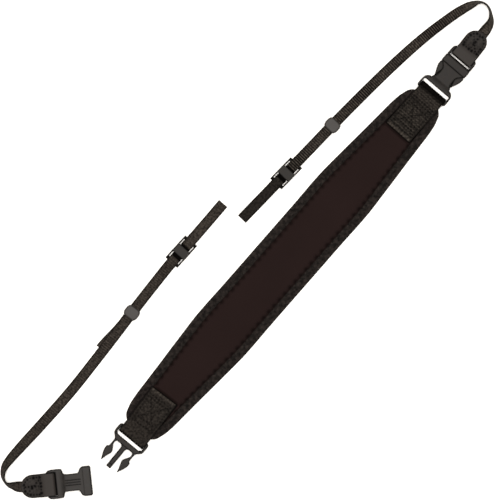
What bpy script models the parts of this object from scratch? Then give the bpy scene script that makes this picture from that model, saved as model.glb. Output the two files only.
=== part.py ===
"""Padded camera neck strap, laid out flat.

The pad lies along X with its underside at z = 0 and its middle over the origin.
At its +X end the side-release buckle is fastened: socket on the pad, plug on the
connector. At its -X end the plug is bare, and the connector that belongs to it
lies beside it with its own socket. Each connector is a leather tab, a narrow
webbing that is folded back on itself for the camera's lug, a keeper and a slider.
"""

from math import atan2, cos, pi, radians, sin

import bmesh
import bpy
import numpy as np
from mathutils import Matrix, Vector

MM = 0.001
GAP = 0.3 * MM  # between pieces that touch on the real object

# Neck pad and its binding
PAD_LENGTH = 388 * MM
PAD_END_RADIUS = 11.0 * MM
PAD_THICKNESS = 6.2 * MM
PAD_SHOULDER = 2.0 * MM  # the drop from the padded middle to the sewn edge
BINDING_WIDTH = 8.0 * MM
BINDING_HEIGHT = 3.8 * MM
BINDING_WALL = 1.0 * MM
SEWN_END = 153.0 * MM  # past this distance from the middle the pad is sewn flat under webbing
SEWN_RAMP = 4.0 * MM
PAD_SIDE_STEPS = 22
PAD_CORNER_ANGLES = (66, 55, 44, 33, 22, 11, 0)  # degrees from +X, round the corner
# distance from the middle of the pad, half-width there
PAD_OUTLINE_MM = (
    (0.0, 27.5),
    (45.0, 27.5),
    (88.0, 27.5),
    (103.0, 26.5),
    (120.5, 25.3),
    (138.0, 24.0),
    (156.0, 22.8),
    (173.5, 21.5),
    (180.5, 20.4),
    (184.5, 19.2),
)

# Webbing and leather
WIDE_WEBBING = 27.0 * MM
WIDE_THICKNESS = 1.4 * MM
NARROW_WEBBING = 9.6 * MM
NARROW_THICKNESS = 1.2 * MM
LEATHER_WIDTH = 20.4 * MM
LEATHER_THICKNESS = 2.0 * MM
FOLD_STEPS = 6
FOLD_PLAY = 0.7 * MM  # from a bar's front edge back to the centre of the band's half-turn
TAB_FREE_LENGTH = 8.2 * MM  # webbing between the pad's sewn end and the fold
TAB_RAMP = 3.3 * MM
LEATHER_RAMP = 4.2 * MM
SEWN_STRAP_LEVEL = 2.9 * MM  # middle of the narrow webbing inside the leather
FOLD_RADIUS = (NARROW_THICKNESS + GAP) / 2  # at the narrow webbing's fold, pressed flat
ROLLED_ROWS = 16  # the first rows of a route, where the band rolls, get a station between them
TAIL_STEP = 5.0 * MM
TAIL_INSET = 1.2 * MM
REST = 0.05 * MM  # how far soft bands lie above the surface

# Buckles: a frame whose bar holds the webbing, and the parts that snap together.
# x runs along the buckle from the socket's mouth, where both halves have their zero.
BUCKLE_LEVEL = 4.2 * MM  # height of the buckles' middle plane
BAR_HALF = 1.5 * MM
BAR_CHAMFER = 0.5 * MM
FRAME_HALF = 2.3 * MM
NECK_HALF = 4.0 * MM
COLLAR_HALF = 4.2 * MM
COLLAR_LENGTH = 7.7 * MM
COLLAR_WIDTH = 26.0 * MM
COLLAR_WALL = 1.3 * MM
CAVITY_HALF = 2.65 * MM
CAVITY_LENGTH = 24.7 * MM
PRONG_HALF = 2.2 * MM
POST_HALF = 1.9 * MM
POST_CHAMFER = 0.7 * MM
CHAMFER = 0.4 * MM
FRAME_CHAMFER = 0.6 * MM
WIDE_SLOT = 27.6 * MM
NARROW_SLOT = 21.0 * MM
BAR_LENGTH = 4.1 * MM
WIDE_SOCKET_BAR = 34.2 * MM  # from the mouth back to the bar's front edge
WIDE_SOCKET_SLOT_END = 28.9 * MM
NARROW_SOCKET_BAR = 34.8 * MM
NARROW_SOCKET_BAR_LENGTH = 4.8 * MM
NARROW_SOCKET_SLOT_END = 30.9 * MM
WIDE_PLUG_BAR = 10.2 * MM  # from the plug's shoulder back to the bar's front edge
WIDE_PLUG_BASE = 4.8 * MM
WIDE_PLUG_GUSSET = 2.2 * MM  # cut across the slot's front corners
NARROW_PLUG_BAR = 4.2 * MM
NARROW_PLUG_BAR_LENGTH = 5.6 * MM
NARROW_PLUG_BASE = 0.5 * MM
TONGUE_LENGTH = 2.6 * MM  # the narrow plug's base that sits inside the mouth
TONGUE_HALF = 2.3 * MM
PRONG_ROOT_MM = 0.7  # how far the prongs reach back into the frame
POST_ROOT_MM = 3.0  # the same for the post
COLLAR_CORNER = 0.9 * MM
NECK_GROOVES = 3  # in the narrow socket's neck
GROOVE_START = -24.6 * MM
GROOVE_END = -9.5 * MM
GROOVE_PITCH = 2.2 * MM
GROOVE_WIDTH = 0.5 * MM
GROOVE_DEPTH = 0.35 * MM
POST_GROOVE_AT = 19.0 * MM
NECK_SLOPE_MM = (22.6, 27.6)  # behind the mouth, where the neck thins to the frame
CLEAR = 5.0 * MM  # how far a cutter reaches past what it cuts
# distance behind the mouth, half-width there, from the bar end to the neck
WIDE_SOCKET_FRAME_MM = (
    (38.3, 13.9),
    (37.5, 15.1),
    (36.2, 15.6),
    (29.9, 15.4),
    (27.1, 14.7),
    (25.1, 12.6),
    (24.1, 10.2),
)
WIDE_SOCKET_NECK_MM = (
    (27.6, 10.2),
    (24.1, 10.0),
    (22.9, 8.6),
    (21.1, 7.6),
    (18.6, 7.1),
    (14.4, 7.0),
    (11.8, 7.6),
    (9.9, 9.4),
    (7.4, 11.8),
)
# The plate under the neck and the prongs
WIDE_SOCKET_FLOOR_MM = (
    (27.6, 10.2),
    (24.1, 10.2),
    (21.4, 9.0),
    (17.4, 8.6),
    (12.0, 8.8),
    (7.4, 11.8),
)
NARROW_SOCKET_FRAME_MM = (
    (39.3, 10.7),
    (37.2, 12.9),
    (26.1, 12.9),
    (25.3, 12.0),
    (24.6, 9.8),
)
NARROW_SOCKET_NECK_MM = (
    (27.6, 9.8),
    (25.0, 9.6),
    (24.2, 8.2),
    (23.0, 7.4),
    (12.2, 7.4),
    (11.0, 7.9),
    (8.8, 12.6),
    (5.8, 12.6),
)
# distance behind the plug's shoulder, half-width there, from the shoulder to the bar end
WIDE_PLUG_FRAME_MM = (
    (0.0, 11.4),
    (1.4, 12.2),
    (3.6, 14.6),
    (5.2, 16.0),
    (12.5, 16.1),
    (13.9, 15.5),
    (14.5, 14.5),
)
NARROW_PLUG_FRAME_MM = (
    (0.0, 12.8),
    (8.0, 12.8),
    (9.8, 11.0),
)
# One prong, round its outline from the root's outer side to the root's inner side:
# distance in front of the shoulder, distance from the centre line
PRONG_MM = (
    (0.0, 11.3),
    (8.0, 11.2),
    (8.5, 12.7),
    (9.2, 13.0),
    (12.2, 13.0),
    (16.6, 11.5),
    (19.6, 9.9),
    (21.7, 9.2),
    (21.9, 8.8),
    (18.5, 8.2),
    (14.6, 7.0),
    (12.0, 6.0),
    (10.6, 5.8),
    (9.0, 6.4),
    (6.6, 7.9),
    (4.6, 9.2),
    (2.8, 9.6),
    (1.1, 9.3),
    (0.0, 8.5),
)
POST_MM = (
    (0.0, 4.4),
    (0.8, 3.0),
    (2.0, 2.3),
    (22.9, 2.2),
)

# Keepers and sliders on the narrow webbing
KEEPER_OUTLINE_MM = ((2.1, 6.6), (4.5, 5.6), (5.5, 3.2))  # one quarter: along, across
KEEPER_HEIGHT = 6.2 * MM
KEEPER_FLOOR = 1.2 * MM
KEEPER_DOME = 1.5 * MM
SLIDER_WIDTH = 14.0 * MM
SLIDER_RAIL = 1.3 * MM
SLIDER_END_HEIGHT = 1.4 * MM
# A slider from the side: distance from its middle, height
SLIDER_SIDE_MM = ((13.0, 0.0), (13.0, 1.7), (8.6, 2.9), (4.6, 4.7))
# What is cut out between its rails, under and beside the middle bar and above the end bars
SLIDER_OPENING_MM = (
    (10.0, -5.0),
    (10.0, SLIDER_END_HEIGHT / MM),
    (18.0, SLIDER_END_HEIGHT / MM),
    (18.0, 10.0),
    (4.2, 10.0),
    (4.2, 3.15),
)
# Where a slider and a keeper lift the webbing: offset along it, share of the full rise
SLIDER_RISE = tuple((offset * MM, share) for offset, share in (
    (-17.0, 0), (-13.6, 1), (-9.4, 1), (-5.2, 0), (5.2, 0), (9.4, 1), (13.6, 1), (17.0, 0)
))
KEEPER_RISE = tuple((offset * MM, share) for offset, share in ((-9.5, 0), (-5.8, 1), (5.8, 1), (9.5, 0)))

# Where things lie. A turn is measured from +X towards +Y.
SOCKET_MOUTH = Vector((235.3 * MM, 0.3 * MM, BUCKLE_LEVEL))
SOCKET_TURN = radians(0.6)
PLUG_SHOULDER = Vector((-211.9 * MM, -0.95 * MM, BUCKLE_LEVEL))
PLUG_TURN = radians(181.7)
LOOSE_MOUTH = Vector((-253.3 * MM, 1.6 * MM, BUCKLE_LEVEL))
LOOSE_TURN = radians(-42.75)
TAB_FASTENED_END = Vector((154.2 * MM, 0.1 * MM))
TAB_OPEN_END = Vector((-155.4 * MM, 2.2 * MM))
LEATHER_FASTENED_TIP = Vector((268.8 * MM, 1.3 * MM))
LEATHER_LOOSE_TIP = Vector((-299.0 * MM, 44.0 * MM))

# The narrow webbings' routes, from the leather to the fold for the camera's lug:
# x, y, roll on edge in degrees (left edge up), height above where the band would rest
FASTENED_ROUTE = (
    (251.0, 0.6, 0, 2.25),
    (262.0, 0.8, 0, 2.25),
    (269.5, 0.9, 0, 2.25),
    (272.2, 1.0, 10, 1.9),
    (275.4, 1.3, 26, 1.2),
    (279.0, 1.9, 42, 0.6),
    (282.5, 3.5, 62, 0.2),
    (285.6, 6.6, 80, 0),
    (288.2, 10.6, 88, 0),
    (289.3, 15.0, 90, 0),
    (288.6, 18.9, 86, 0),
    (286.6, 21.6, 74, 0),
    (283.6, 23.8, 57, 0),
    (279.6, 25.8, 42, 0),
    (270.2, 29.2, 29, 0),
    (252.6, 33.6, 24, 0),
    (226.0, 38.5, 16, 0),
    (199.8, 41.7, 6, 0),
    (164.6, 44.7, 0, 0),
    (129.4, 47.0, 0, 0),
    (85.4, 49.1, 0, 0),
    (44.9, 51.2, 0, 0),
    (6.4, 53.1, 0, 0),
)
LOOSE_ROUTE = (
    (-287.0, 32.8, 0, 2.25),
    (-293.0, 38.4, 0, 2.25),
    (-298.8, 44.8, 0, 2.25),
    (-300.4, 47.0, -14, 1.8),
    (-302.3, 50.2, -44, 0.8),
    (-304.0, 53.2, -62, 0.2),
    (-304.7, 56.0, -76, 0),
    (-304.1, 59.0, -78, 0),
    (-302.2, 62.2, -70, 0),
    (-298.6, 65.1, -60, 0),
    (-293.6, 67.0, -46, 0),
    (-287.0, 67.6, -36, 0),
    (-273.7, 67.6, -24, 0),
    (-250.0, 67.0, -10, 0),
    (-225.0, 66.7, 0, 0),
    (-205.0, 66.8, 0, 0),
    (-175.1, 68.2, 0, 0),
    (-147.0, 69.9, 0, 0),
    (-119.1, 71.8, 0, 0),
    (-90.6, 73.4, 0, 0),
    (-64.2, 74.5, 0, 0),
    (-36.1, 74.2, 0, 0),
    (6.2, 74.5, 0, 0),
)
# How far before the fold, along the webbing, the middle of each piece lies
FASTENED_SLIDER_AT = 56.1 * MM
FASTENED_KEEPER_AT = 114.7 * MM
FASTENED_TAIL_AT = 155.0 * MM
LOOSE_SLIDER_AT = 56.3 * MM
LOOSE_KEEPER_AT = 125.4 * MM
LOOSE_TAIL_AT = 168.8 * MM
LOOSE_TAIL_SHIFT = 2.6 * MM  # the loose connector's tail shows at one side of the webbing
TAIL_SHIFT_FADE = 34.0 * MM

NEOPRENE = ("neoprene", "#241b1a", 0.95)
BINDING = ("binding_fabric", "#22201e", 0.9)
WEBBING = ("nylon_webbing", "#3a3531", 0.8)
LEATHER = ("black_leather", "#3a3836", 0.6)
PLASTIC = ("moulded_plastic", "#403d3b", 0.45)
KEEPER_PLASTIC = ("keeper_plastic", "#5a5754", 0.5)


def new_collection(name):
    group = bpy.data.collections.new(name)
    bpy.context.scene.collection.children.link(group)
    return group


def linear(channel):
    """One sRGB channel, 0 to 1, as a linear value."""
    return channel / 12.92 if channel <= 0.04045 else ((channel + 0.055) / 1.055) ** 2.4


def finish(thing, look):
    """Gives an object the named Principled material."""
    name, colour, roughness = look
    material = bpy.data.materials.get(name)
    if material is None:
        material = bpy.data.materials.new(name)
        material.use_nodes = True
        shader = material.node_tree.nodes["Principled BSDF"]
        red, green, blue = (linear(int(colour[i : i + 2], 16) / 255) for i in (1, 3, 5))
        shader.inputs["Base Color"].default_value = (red, green, blue, 1)
        shader.inputs["Roughness"].default_value = roughness
    thing.data.materials.clear()
    thing.data.materials.append(material)


def add_object(name, mesh, group):
    thing = bpy.data.objects.new(name, mesh)
    group.objects.link(thing)
    return thing


def prism(name, outline, low, high, group, upright=False):
    """An outline filled with one face and extruded into a solid.

    The outline is in X and Y and rises from low to high along Z. An upright one
    is in X and Z, and runs from low to high along Y.
    """
    solid = bmesh.new()
    base = solid.faces.new([solid.verts.new((x, y, low)) for x, y in outline])
    raised = bmesh.ops.extrude_face_region(solid, geom=[base])["geom"]
    lid = [element for element in raised if isinstance(element, bmesh.types.BMVert)]
    bmesh.ops.translate(solid, verts=lid, vec=(0, 0, high - low))
    if upright:
        stand = Matrix(((1, 0, 0), (0, 0, 1), (0, 1, 0)))
        bmesh.ops.transform(solid, matrix=stand.to_4x4(), verts=solid.verts)
    bmesh.ops.recalc_face_normals(solid, faces=solid.faces)
    mesh = bpy.data.meshes.new(name)
    solid.to_mesh(mesh)
    solid.free()
    return add_object(name, mesh, group)


def chamfer_rims(thing, width, segments=1, top_only=False):
    """Chamfers or rounds the edges between the flat caps of a prism and its sides."""
    solid = bmesh.new()
    solid.from_mesh(thing.data)
    lowest = 0.99 if top_only else -1.0
    caps = {face for face in solid.faces if abs(face.normal.z) > 0.99 and face.normal.z >= lowest}
    rims = [edge for edge in solid.edges if len(caps.intersection(edge.link_faces)) == 1]
    bmesh.ops.bevel(solid, geom=rims, offset=width, segments=segments, affect="EDGES", profile=0.5)
    solid.to_mesh(thing.data)
    solid.free()


def box(name, low, high, group):
    """A block between two corners, from Blender's cube."""
    solid = bmesh.new()
    bmesh.ops.create_cube(solid, size=1)
    low, high = Vector(low), Vector(high)
    bmesh.ops.scale(solid, vec=high - low, verts=solid.verts)
    bmesh.ops.translate(solid, vec=(low + high) / 2, verts=solid.verts)
    mesh = bpy.data.meshes.new(name)
    solid.to_mesh(mesh)
    solid.free()
    return add_object(name, mesh, group)


def combine(thing, tool, operation):
    """Adds a Boolean of a tool that moves with the thing."""
    tool.parent = thing
    tool.hide_render = True
    tool.display_type = "WIRE"
    modifier = thing.modifiers.new(operation.lower() + "_" + tool.name, "BOOLEAN")
    modifier.operation = operation
    modifier.solver = "EXACT"
    modifier.object = tool


def both_sides(rows):
    """A closed outline from rows of distance and half-width, mirrored in the X axis."""
    half = [(x * MM, y * MM) for x, y in rows]
    return half + [(x, -y) for x, y in reversed(half)]


def behind(rows):
    """Rows of distance behind the mouth or shoulder, as rows of x."""
    return [(-x, y) for x, y in rows]


def soften(rows):
    """Cuts each corner between the first row and the last at a quarter of its two runs."""
    smooth = [rows[0]]
    for (x0, y0), (x1, y1) in zip(rows, rows[1:]):
        smooth.append((x0 + (x1 - x0) / 4, y0 + (y1 - y0) / 4))
        smooth.append((x1 + (x0 - x1) / 4, y1 + (y0 - y1) / 4))
    return smooth + [rows[-1]]


def four_sides(side):
    """A closed outline from a quarter that runs from the Y axis to the X axis."""
    right = side + [(x, -y) for x, y in reversed(side)]
    return right + [(-x, y) for x, y in reversed(right) if x > 0]


def both_ends(rows):
    """A closed outline from rows of distance from the middle and height, mirrored end to end."""
    half = [(x * MM, z * MM) for x, z in rows]
    return half + [(-x, z) for x, z in reversed(half)]


class Route:
    """A smooth level line through a table of points, read by the distance along it."""

    def __init__(self, rows):
        self.rows = np.array(rows, dtype=float)
        steps = np.linalg.norm(np.diff(self.rows[:, :2], axis=0), axis=1)
        self.marks = np.concatenate([[0.0], np.cumsum(steps)])
        self.slopes = np.gradient(self.rows[:, :2], self.marks, axis=0)
        self.length = self.marks[-1]

    def at(self, distance):
        """The place at a distance, and the direction there."""
        inside = min(max(distance, 0.0), self.length)
        k = int(np.clip(np.searchsorted(self.marks, inside) - 1, 0, len(self.marks) - 2))
        span = self.marks[k + 1] - self.marks[k]
        t = (inside - self.marks[k]) / span
        before, after = self.rows[k, :2], self.rows[k + 1, :2]
        leave, arrive = self.slopes[k] * span, self.slopes[k + 1] * span
        place = (
            (2 * t**3 - 3 * t**2 + 1) * before
            + (t**3 - 2 * t**2 + t) * leave
            + (3 * t**2 - 2 * t**3) * after
            + (t**3 - t**2) * arrive
        )
        run = (
            (6 * t**2 - 6 * t) * (before - after)
            + (3 * t**2 - 4 * t + 1) * leave
            + (3 * t**2 - 2 * t) * arrive
        )
        ahead = Vector(run).normalized()
        return Vector(place) + ahead * (distance - inside), ahead

    def column(self, number, distance):
        """One of the table's other columns at a distance, straight between its rows."""
        return float(np.interp(distance, self.marks, self.rows[:, number]))


# ---------------------------------------------------------------- neck pad


def pad_outline(inset):
    """The pad's outline, drawn in by a distance: curved sides and round corners."""
    side_line = Route([(x * MM, y * MM) for x, y in PAD_OUTLINE_MM])
    side = []
    for distance in np.linspace(0, side_line.length, PAD_SIDE_STEPS):
        place, ahead = side_line.at(distance)
        side.append((place.x + ahead.y * inset, place.y - ahead.x * inset))
    corner_x = PAD_LENGTH / 2 - PAD_END_RADIUS
    corner_y = PAD_OUTLINE_MM[-1][1] * MM - PAD_END_RADIUS
    radius = PAD_END_RADIUS - inset
    for angle in PAD_CORNER_ANGLES:
        side.append((corner_x + radius * cos(radians(angle)), corner_y + radius * sin(radians(angle))))
    return four_sides(side)


def make_pad(parts, cutters):
    """Neoprene panel: a thick middle with round shoulders on a thin tongue under the binding."""
    panel = prism("neck_pad", pad_outline(BINDING_WIDTH + GAP), 0, PAD_THICKNESS, parts)
    chamfer_rims(panel, PAD_SHOULDER, segments=3, top_only=True)
    tongue = prism(
        "pad_tongue",
        pad_outline(BINDING_WALL + GAP),
        BINDING_WALL + GAP,
        BINDING_HEIGHT - BINDING_WALL - GAP,
        cutters,
    )
    combine(panel, tongue, "UNION")
    for side in (1, -1):
        drop = PAD_THICKNESS - BINDING_HEIGHT
        ramp = (
            (side * (SEWN_END - 2 * SEWN_RAMP), BINDING_HEIGHT + 2 * drop),
            (side * SEWN_END, BINDING_HEIGHT),
            (side * PAD_LENGTH, BINDING_HEIGHT),
            (side * PAD_LENGTH, BINDING_HEIGHT + 2 * drop),
        )
        sewn = prism("sewn_flat_%d" % side, ramp, -PAD_LENGTH / 4, PAD_LENGTH / 4, cutters, upright=True)
        combine(panel, sewn, "DIFFERENCE")
    finish(panel, NEOPRENE)


def make_binding(parts, cutters):
    """Fabric folded over the pad's edge: the outer loop less the space that the pad fills."""
    binding = prism("edge_binding", pad_outline(0), 0, BINDING_HEIGHT, parts)
    chamfer_rims(binding, BINDING_WALL * 0.8)
    opening = prism("binding_opening", pad_outline(BINDING_WIDTH), -MM, BINDING_HEIGHT + MM, cutters)
    groove = prism(
        "binding_groove",
        pad_outline(BINDING_WALL),
        BINDING_WALL,
        BINDING_HEIGHT - BINDING_WALL,
        cutters,
    )
    combine(binding, opening, "DIFFERENCE")
    combine(binding, groove, "DIFFERENCE")
    finish(binding, BINDING)


# ---------------------------------------------------------------- bands


def band(name, route, stations, thickness, look, group):
    """A flat band along a route: a strip from edge to edge, given thickness by Solidify.

    Each station is the distance along the route, the height of the band's middle,
    its half-width, its roll and its shift to the left.
    """
    strip = bmesh.new()
    rows = []
    for distance, height, half_width, roll, shift in stations:
        place, ahead = route.at(distance)
        left = Vector((-ahead.y, ahead.x, 0))
        across = left * cos(roll) + Vector((0, 0, 1)) * sin(roll)
        middle = place.to_3d() + Vector((0, 0, height)) + left * shift
        rows.append([strip.verts.new(middle + across * side * half_width) for side in (1, -1)])
    for (a, b), (c, d) in zip(rows, rows[1:]):
        strip.faces.new((a, b, d, c))
    mesh = bpy.data.meshes.new(name)
    strip.to_mesh(mesh)
    strip.free()
    thing = add_object(name, mesh, group)
    shell = thing.modifiers.new("thickness", "SOLIDIFY")
    shell.thickness = thickness
    shell.offset = 0
    shell.use_even_offset = True
    finish(thing, look)
    return thing


def turn_back(centre, radius, level):
    """Distances and heights round a half-turn in a band that goes back underneath itself."""
    angles = [pi * step / FOLD_STEPS for step in range(FOLD_STEPS + 1)]
    return [(centre + radius * sin(angle), level + radius * cos(angle)) for angle in angles]


def make_tab(name, end, origin, turn, bar_front, group):
    """Wide webbing: sewn on the pad in two layers, and folded round the buckle's bar."""
    along = Vector((cos(turn), sin(turn)))
    fold = origin.to_2d() - along * (bar_front + FOLD_PLAY)
    pad_edge = fold - along * TAB_FREE_LENGTH
    route = Route([tuple(end), tuple(end.lerp(pad_edge, 0.5)), tuple(pad_edge), tuple(fold)])
    lower = BINDING_HEIGHT + GAP + WIDE_THICKNESS / 2
    upper = lower + GAP + WIDE_THICKNESS
    radius = BAR_HALF + GAP + WIDE_THICKNESS / 2
    off_bar = route.length - BAR_LENGTH + FOLD_PLAY - GAP
    on_pad = off_bar - TAB_RAMP
    path = [(0.0, upper), (route.marks[1], upper), (on_pad, upper), (off_bar, BUCKLE_LEVEL + radius)]
    path += turn_back(route.length, radius, BUCKLE_LEVEL)
    path += [(off_bar, BUCKLE_LEVEL - radius), (on_pad, lower), (route.marks[1], lower), (0.0, lower)]
    stations = [(distance, height, WIDE_WEBBING / 2, 0.0, 0.0) for distance, height in path]
    band(name, route, stations, WIDE_THICKNESS, WEBBING, group)


def round_end(radius):
    """Distances from the tip of a round end, and the half-widths there."""
    angles = [radians(angle) for angle in (12, 24, 38, 54, 72, 90)]
    return [(radius * (1 - cos(angle)), radius * sin(angle)) for angle in angles]


def make_leather(name, origin, turn, bar_front, bar_length, tip, group):
    """Leather: round at the tip, folded round the frame's bar, the webbing's end between its layers."""
    along = Vector((cos(turn), sin(turn)))
    fold = origin.to_2d() - along * (bar_front + FOLD_PLAY)
    frame_end = fold - along * (bar_length - FOLD_PLAY)
    route = Route([tuple(tip), tuple(tip.lerp(frame_end, 0.5)), tuple(frame_end), tuple(fold)])
    webbing = SEWN_STRAP_LEVEL
    half_gap = NARROW_THICKNESS / 2 + GAP + LEATHER_THICKNESS / 2
    radius = BAR_HALF + GAP + LEATHER_THICKNESS / 2
    off_bar = route.length - bar_length + FOLD_PLAY - GAP
    sewn = off_bar - LEATHER_RAMP
    half = LEATHER_WIDTH / 2
    top = [(distance, webbing + half_gap, width) for distance, width in round_end(half)]
    top += [(sewn, webbing + half_gap, half), (off_bar, BUCKLE_LEVEL + radius, half)]
    bottom = [(off_bar, BUCKLE_LEVEL - radius, half), (sewn, webbing - half_gap, half)]
    bottom += [(distance, webbing - half_gap, width) for distance, width in reversed(round_end(half))]
    over = [(distance, height, half) for distance, height in turn_back(route.length, radius, BUCKLE_LEVEL)]
    stations = [(distance, height, width, 0.0, 0.0) for distance, height, width in top + over + bottom]
    band(name, route, stations, LEATHER_THICKNESS, LEATHER, group)


def narrow_height(route, distance, rises):
    """How high the middle of a narrow webbing lies where it is single or the lower layer."""
    roll = radians(route.column(2, distance))
    rest = REST + NARROW_WEBBING / 2 * abs(sin(roll)) + NARROW_THICKNESS / 2 * cos(roll)
    lift = route.column(3, distance)
    return rest + lift + sum(np.interp(distance, places, heights) for places, heights in rises)


def rise(middle, rows):
    """Places and heights of a piece that lifts the webbing, from rows of offset and height."""
    return [middle + offset for offset, _ in rows], [height for _, height in rows]


def make_narrow_webbing(name, route, slider, keeper, tail, tail_shift, group):
    """Narrow webbing: out of the leather, folded for the lug, and back underneath to its tail."""
    over_bar = SLIDER_END_HEIGHT + GAP - REST
    over_floor = KEEPER_FLOOR + GAP - REST
    rises = [
        rise(slider, [(offset, over_bar * height) for offset, height in SLIDER_RISE]),
        rise(keeper, [(offset, over_floor * height) for offset, height in KEEPER_RISE]),
    ]
    marks = set(places for rows in rises for places in rows[0])
    marks.update(route.marks[1:-1])
    marks.update((route.marks[1:] + route.marks[:-1])[: ROLLED_ROWS] / 2)
    fold = route.length - FOLD_RADIUS - NARROW_THICKNESS / 2
    layer = GAP + NARROW_THICKNESS
    half = NARROW_WEBBING / 2
    stations = []
    for distance in sorted({0.0, tail - TAIL_STEP, tail} | marks):
        height = narrow_height(route, distance, rises)
        height += np.interp(distance, [tail - TAIL_STEP, tail], [0, layer])
        stations.append((distance, height, half, radians(route.column(2, distance)), 0.0))
    level = narrow_height(route, fold, rises) + FOLD_RADIUS
    stations += [(d, z, half, 0.0, 0.0) for d, z in turn_back(fold, FOLD_RADIUS, level)]
    start = tail + TAIL_INSET
    for distance in sorted((d for d in marks | {start} if start <= d < fold), reverse=True):
        height = narrow_height(route, distance, rises)
        shift = np.interp(distance, [start, start + TAIL_SHIFT_FADE], [tail_shift, 0])
        stations.append((distance, height, half, 0.0, float(shift)))
    band(name, route, stations, NARROW_THICKNESS, WEBBING, group)


# ---------------------------------------------------------------- buckles


def cut_bar(thing, front, length, slot, room, cutters):
    """Cuts the slot in front of a bar, and thins the bar to let the band lie over it."""
    back = -front - length
    level = BAR_HALF - BAR_CHAMFER
    far = CLEAR
    outline = (
        (back - far, BAR_HALF),
        (-front - BAR_CHAMFER, BAR_HALF),
        (-front, level),
        (-front, -level),
        (-front - BAR_CHAMFER, -BAR_HALF),
        (back - far, -BAR_HALF),
        (back - far, -far),
        (room, -far),
        (room, far),
        (back - far, far),
    )
    name = thing.name + "_slot"
    combine(thing, prism(name, outline, -slot / 2, slot / 2, cutters, upright=True), "DIFFERENCE")


def make_socket(name, frame, neck, floor, slot, slot_end, bar_front, bar_length, grooves, group, cutters):
    """Side-release socket: frame and bar, an open-sided neck and the collar round the mouth."""
    body = prism(name, both_sides(soften(behind(neck))), -NECK_HALF, NECK_HALF, group)
    chamfer_rims(body, CHAMFER)
    if floor:
        plate = prism(name + "_floor", both_sides(soften(behind(floor))), -NECK_HALF, -CAVITY_HALF, cutters)
        combine(body, plate, "UNION")
    near, far = NECK_SLOPE_MM
    for side in (1, -1):
        low, above = side * (FRAME_HALF - GAP), side * 2 * CLEAR
        slope = [(-near * MM, side * NECK_HALF), (-far * MM, low), (-far * MM - CLEAR, low)]
        slope += [(-far * MM - CLEAR, above), (-near * MM, above)]
        wedge = prism("%s_slope_%d" % (name, side), slope, -COLLAR_WIDTH, COLLAR_WIDTH, cutters, upright=True)
        combine(body, wedge, "DIFFERENCE")
    frame_outline = both_sides(soften(behind(frame)))
    frame_plate = prism(name + "_frame", frame_outline, -FRAME_HALF, FRAME_HALF, cutters)
    chamfer_rims(frame_plate, FRAME_CHAMFER)
    half = COLLAR_WIDTH / 2
    corner = COLLAR_CORNER
    collar_outline = [
        (0, half - corner),
        (0, corner - half),
        (-corner, -half),
        (corner - COLLAR_LENGTH, -half),
        (-COLLAR_LENGTH, corner - half),
        (-COLLAR_LENGTH, half - corner),
        (corner - COLLAR_LENGTH, half),
        (-corner, half),
    ]
    collar = prism(name + "_collar", collar_outline, -COLLAR_HALF, COLLAR_HALF, cutters)
    chamfer_rims(collar, 2 * CHAMFER)
    combine(body, frame_plate, "UNION")
    combine(body, collar, "UNION")
    cut_bar(body, bar_front, bar_length, slot, slot_end, cutters)
    inner = half - COLLAR_WALL
    mouth_low = (-COLLAR_LENGTH - CHAMFER, -inner, -CAVITY_HALF)
    combine(body, box(name + "_mouth", mouth_low, (CLEAR, inner, CAVITY_HALF), cutters), "DIFFERENCE")
    window_low = (-CAVITY_LENGTH, -COLLAR_WIDTH, -CAVITY_HALF)
    window_high = (-COLLAR_LENGTH, COLLAR_WIDTH, CAVITY_HALF)
    combine(body, box(name + "_windows", window_low, window_high, cutters), "DIFFERENCE")
    for row in range(grooves):
        side = (row - (grooves - 1) / 2) * GROOVE_PITCH
        low = (GROOVE_START, side - GROOVE_WIDTH / 2, NECK_HALF - GROOVE_DEPTH)
        high = (GROOVE_END, side + GROOVE_WIDTH / 2, NECK_HALF + CLEAR)
        combine(body, box("%s_groove_%d" % (name, row + 1), low, high, cutters), "DIFFERENCE")
    finish(body, PLASTIC)
    return body


def make_plug(name, frame, slot, slot_start, bar_front, bar_length, group, cutters, tongue=0.0, gusset=0.0):
    """Side-release plug: frame and bar, two barbed prongs and the post between them."""
    body = prism(name, both_sides(soften(behind(frame))), -FRAME_HALF, FRAME_HALF, group)
    chamfer_rims(body, FRAME_CHAMFER)
    root = -PRONG_ROOT_MM
    prong_rows = [(root, PRONG_MM[0][1])] + soften(PRONG_MM) + [(root, PRONG_MM[-1][1])]
    for side in (1, -1):
        outline = [(x * MM, side * y * MM) for x, y in prong_rows]
        prong = prism("%s_prong_%d" % (name, side), outline, -PRONG_HALF, PRONG_HALF, cutters)
        chamfer_rims(prong, CHAMFER)
        combine(body, prong, "UNION")
    post_rows = [(-POST_ROOT_MM, POST_MM[0][1])] + list(POST_MM)
    post = prism(name + "_post", both_sides(post_rows), -POST_HALF, POST_HALF, cutters)
    chamfer_rims(post, POST_CHAMFER)
    combine(body, post, "UNION")
    low = (POST_GROOVE_AT, -CLEAR, POST_HALF - GROOVE_DEPTH)
    high = (POST_GROOVE_AT + GROOVE_WIDTH, CLEAR, POST_HALF + CLEAR)
    combine(body, box(name + "_post_groove", low, high, cutters), "DIFFERENCE")
    if tongue:
        width = COLLAR_WIDTH / 2 - COLLAR_WALL - GAP
        low, high = (-CHAMFER, -width, -TONGUE_HALF), (tongue, width, TONGUE_HALF)
        combine(body, box(name + "_tongue", low, high, cutters), "UNION")
    cut_bar(body, bar_front, bar_length, slot, slot_start, cutters)
    for side in (1, -1) if gusset else ():
        reach = slot / 2 + GAP
        corner = [
            (slot_start + GAP, side * reach),
            (slot_start - gusset, side * reach),
            (slot_start + GAP, side * (slot / 2 - gusset - GAP)),
        ]
        web = prism("%s_gusset_%d" % (name, side), corner, -BAR_HALF, BAR_HALF, cutters)
        combine(body, web, "UNION")
    finish(body, PLASTIC)
    return body


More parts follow.
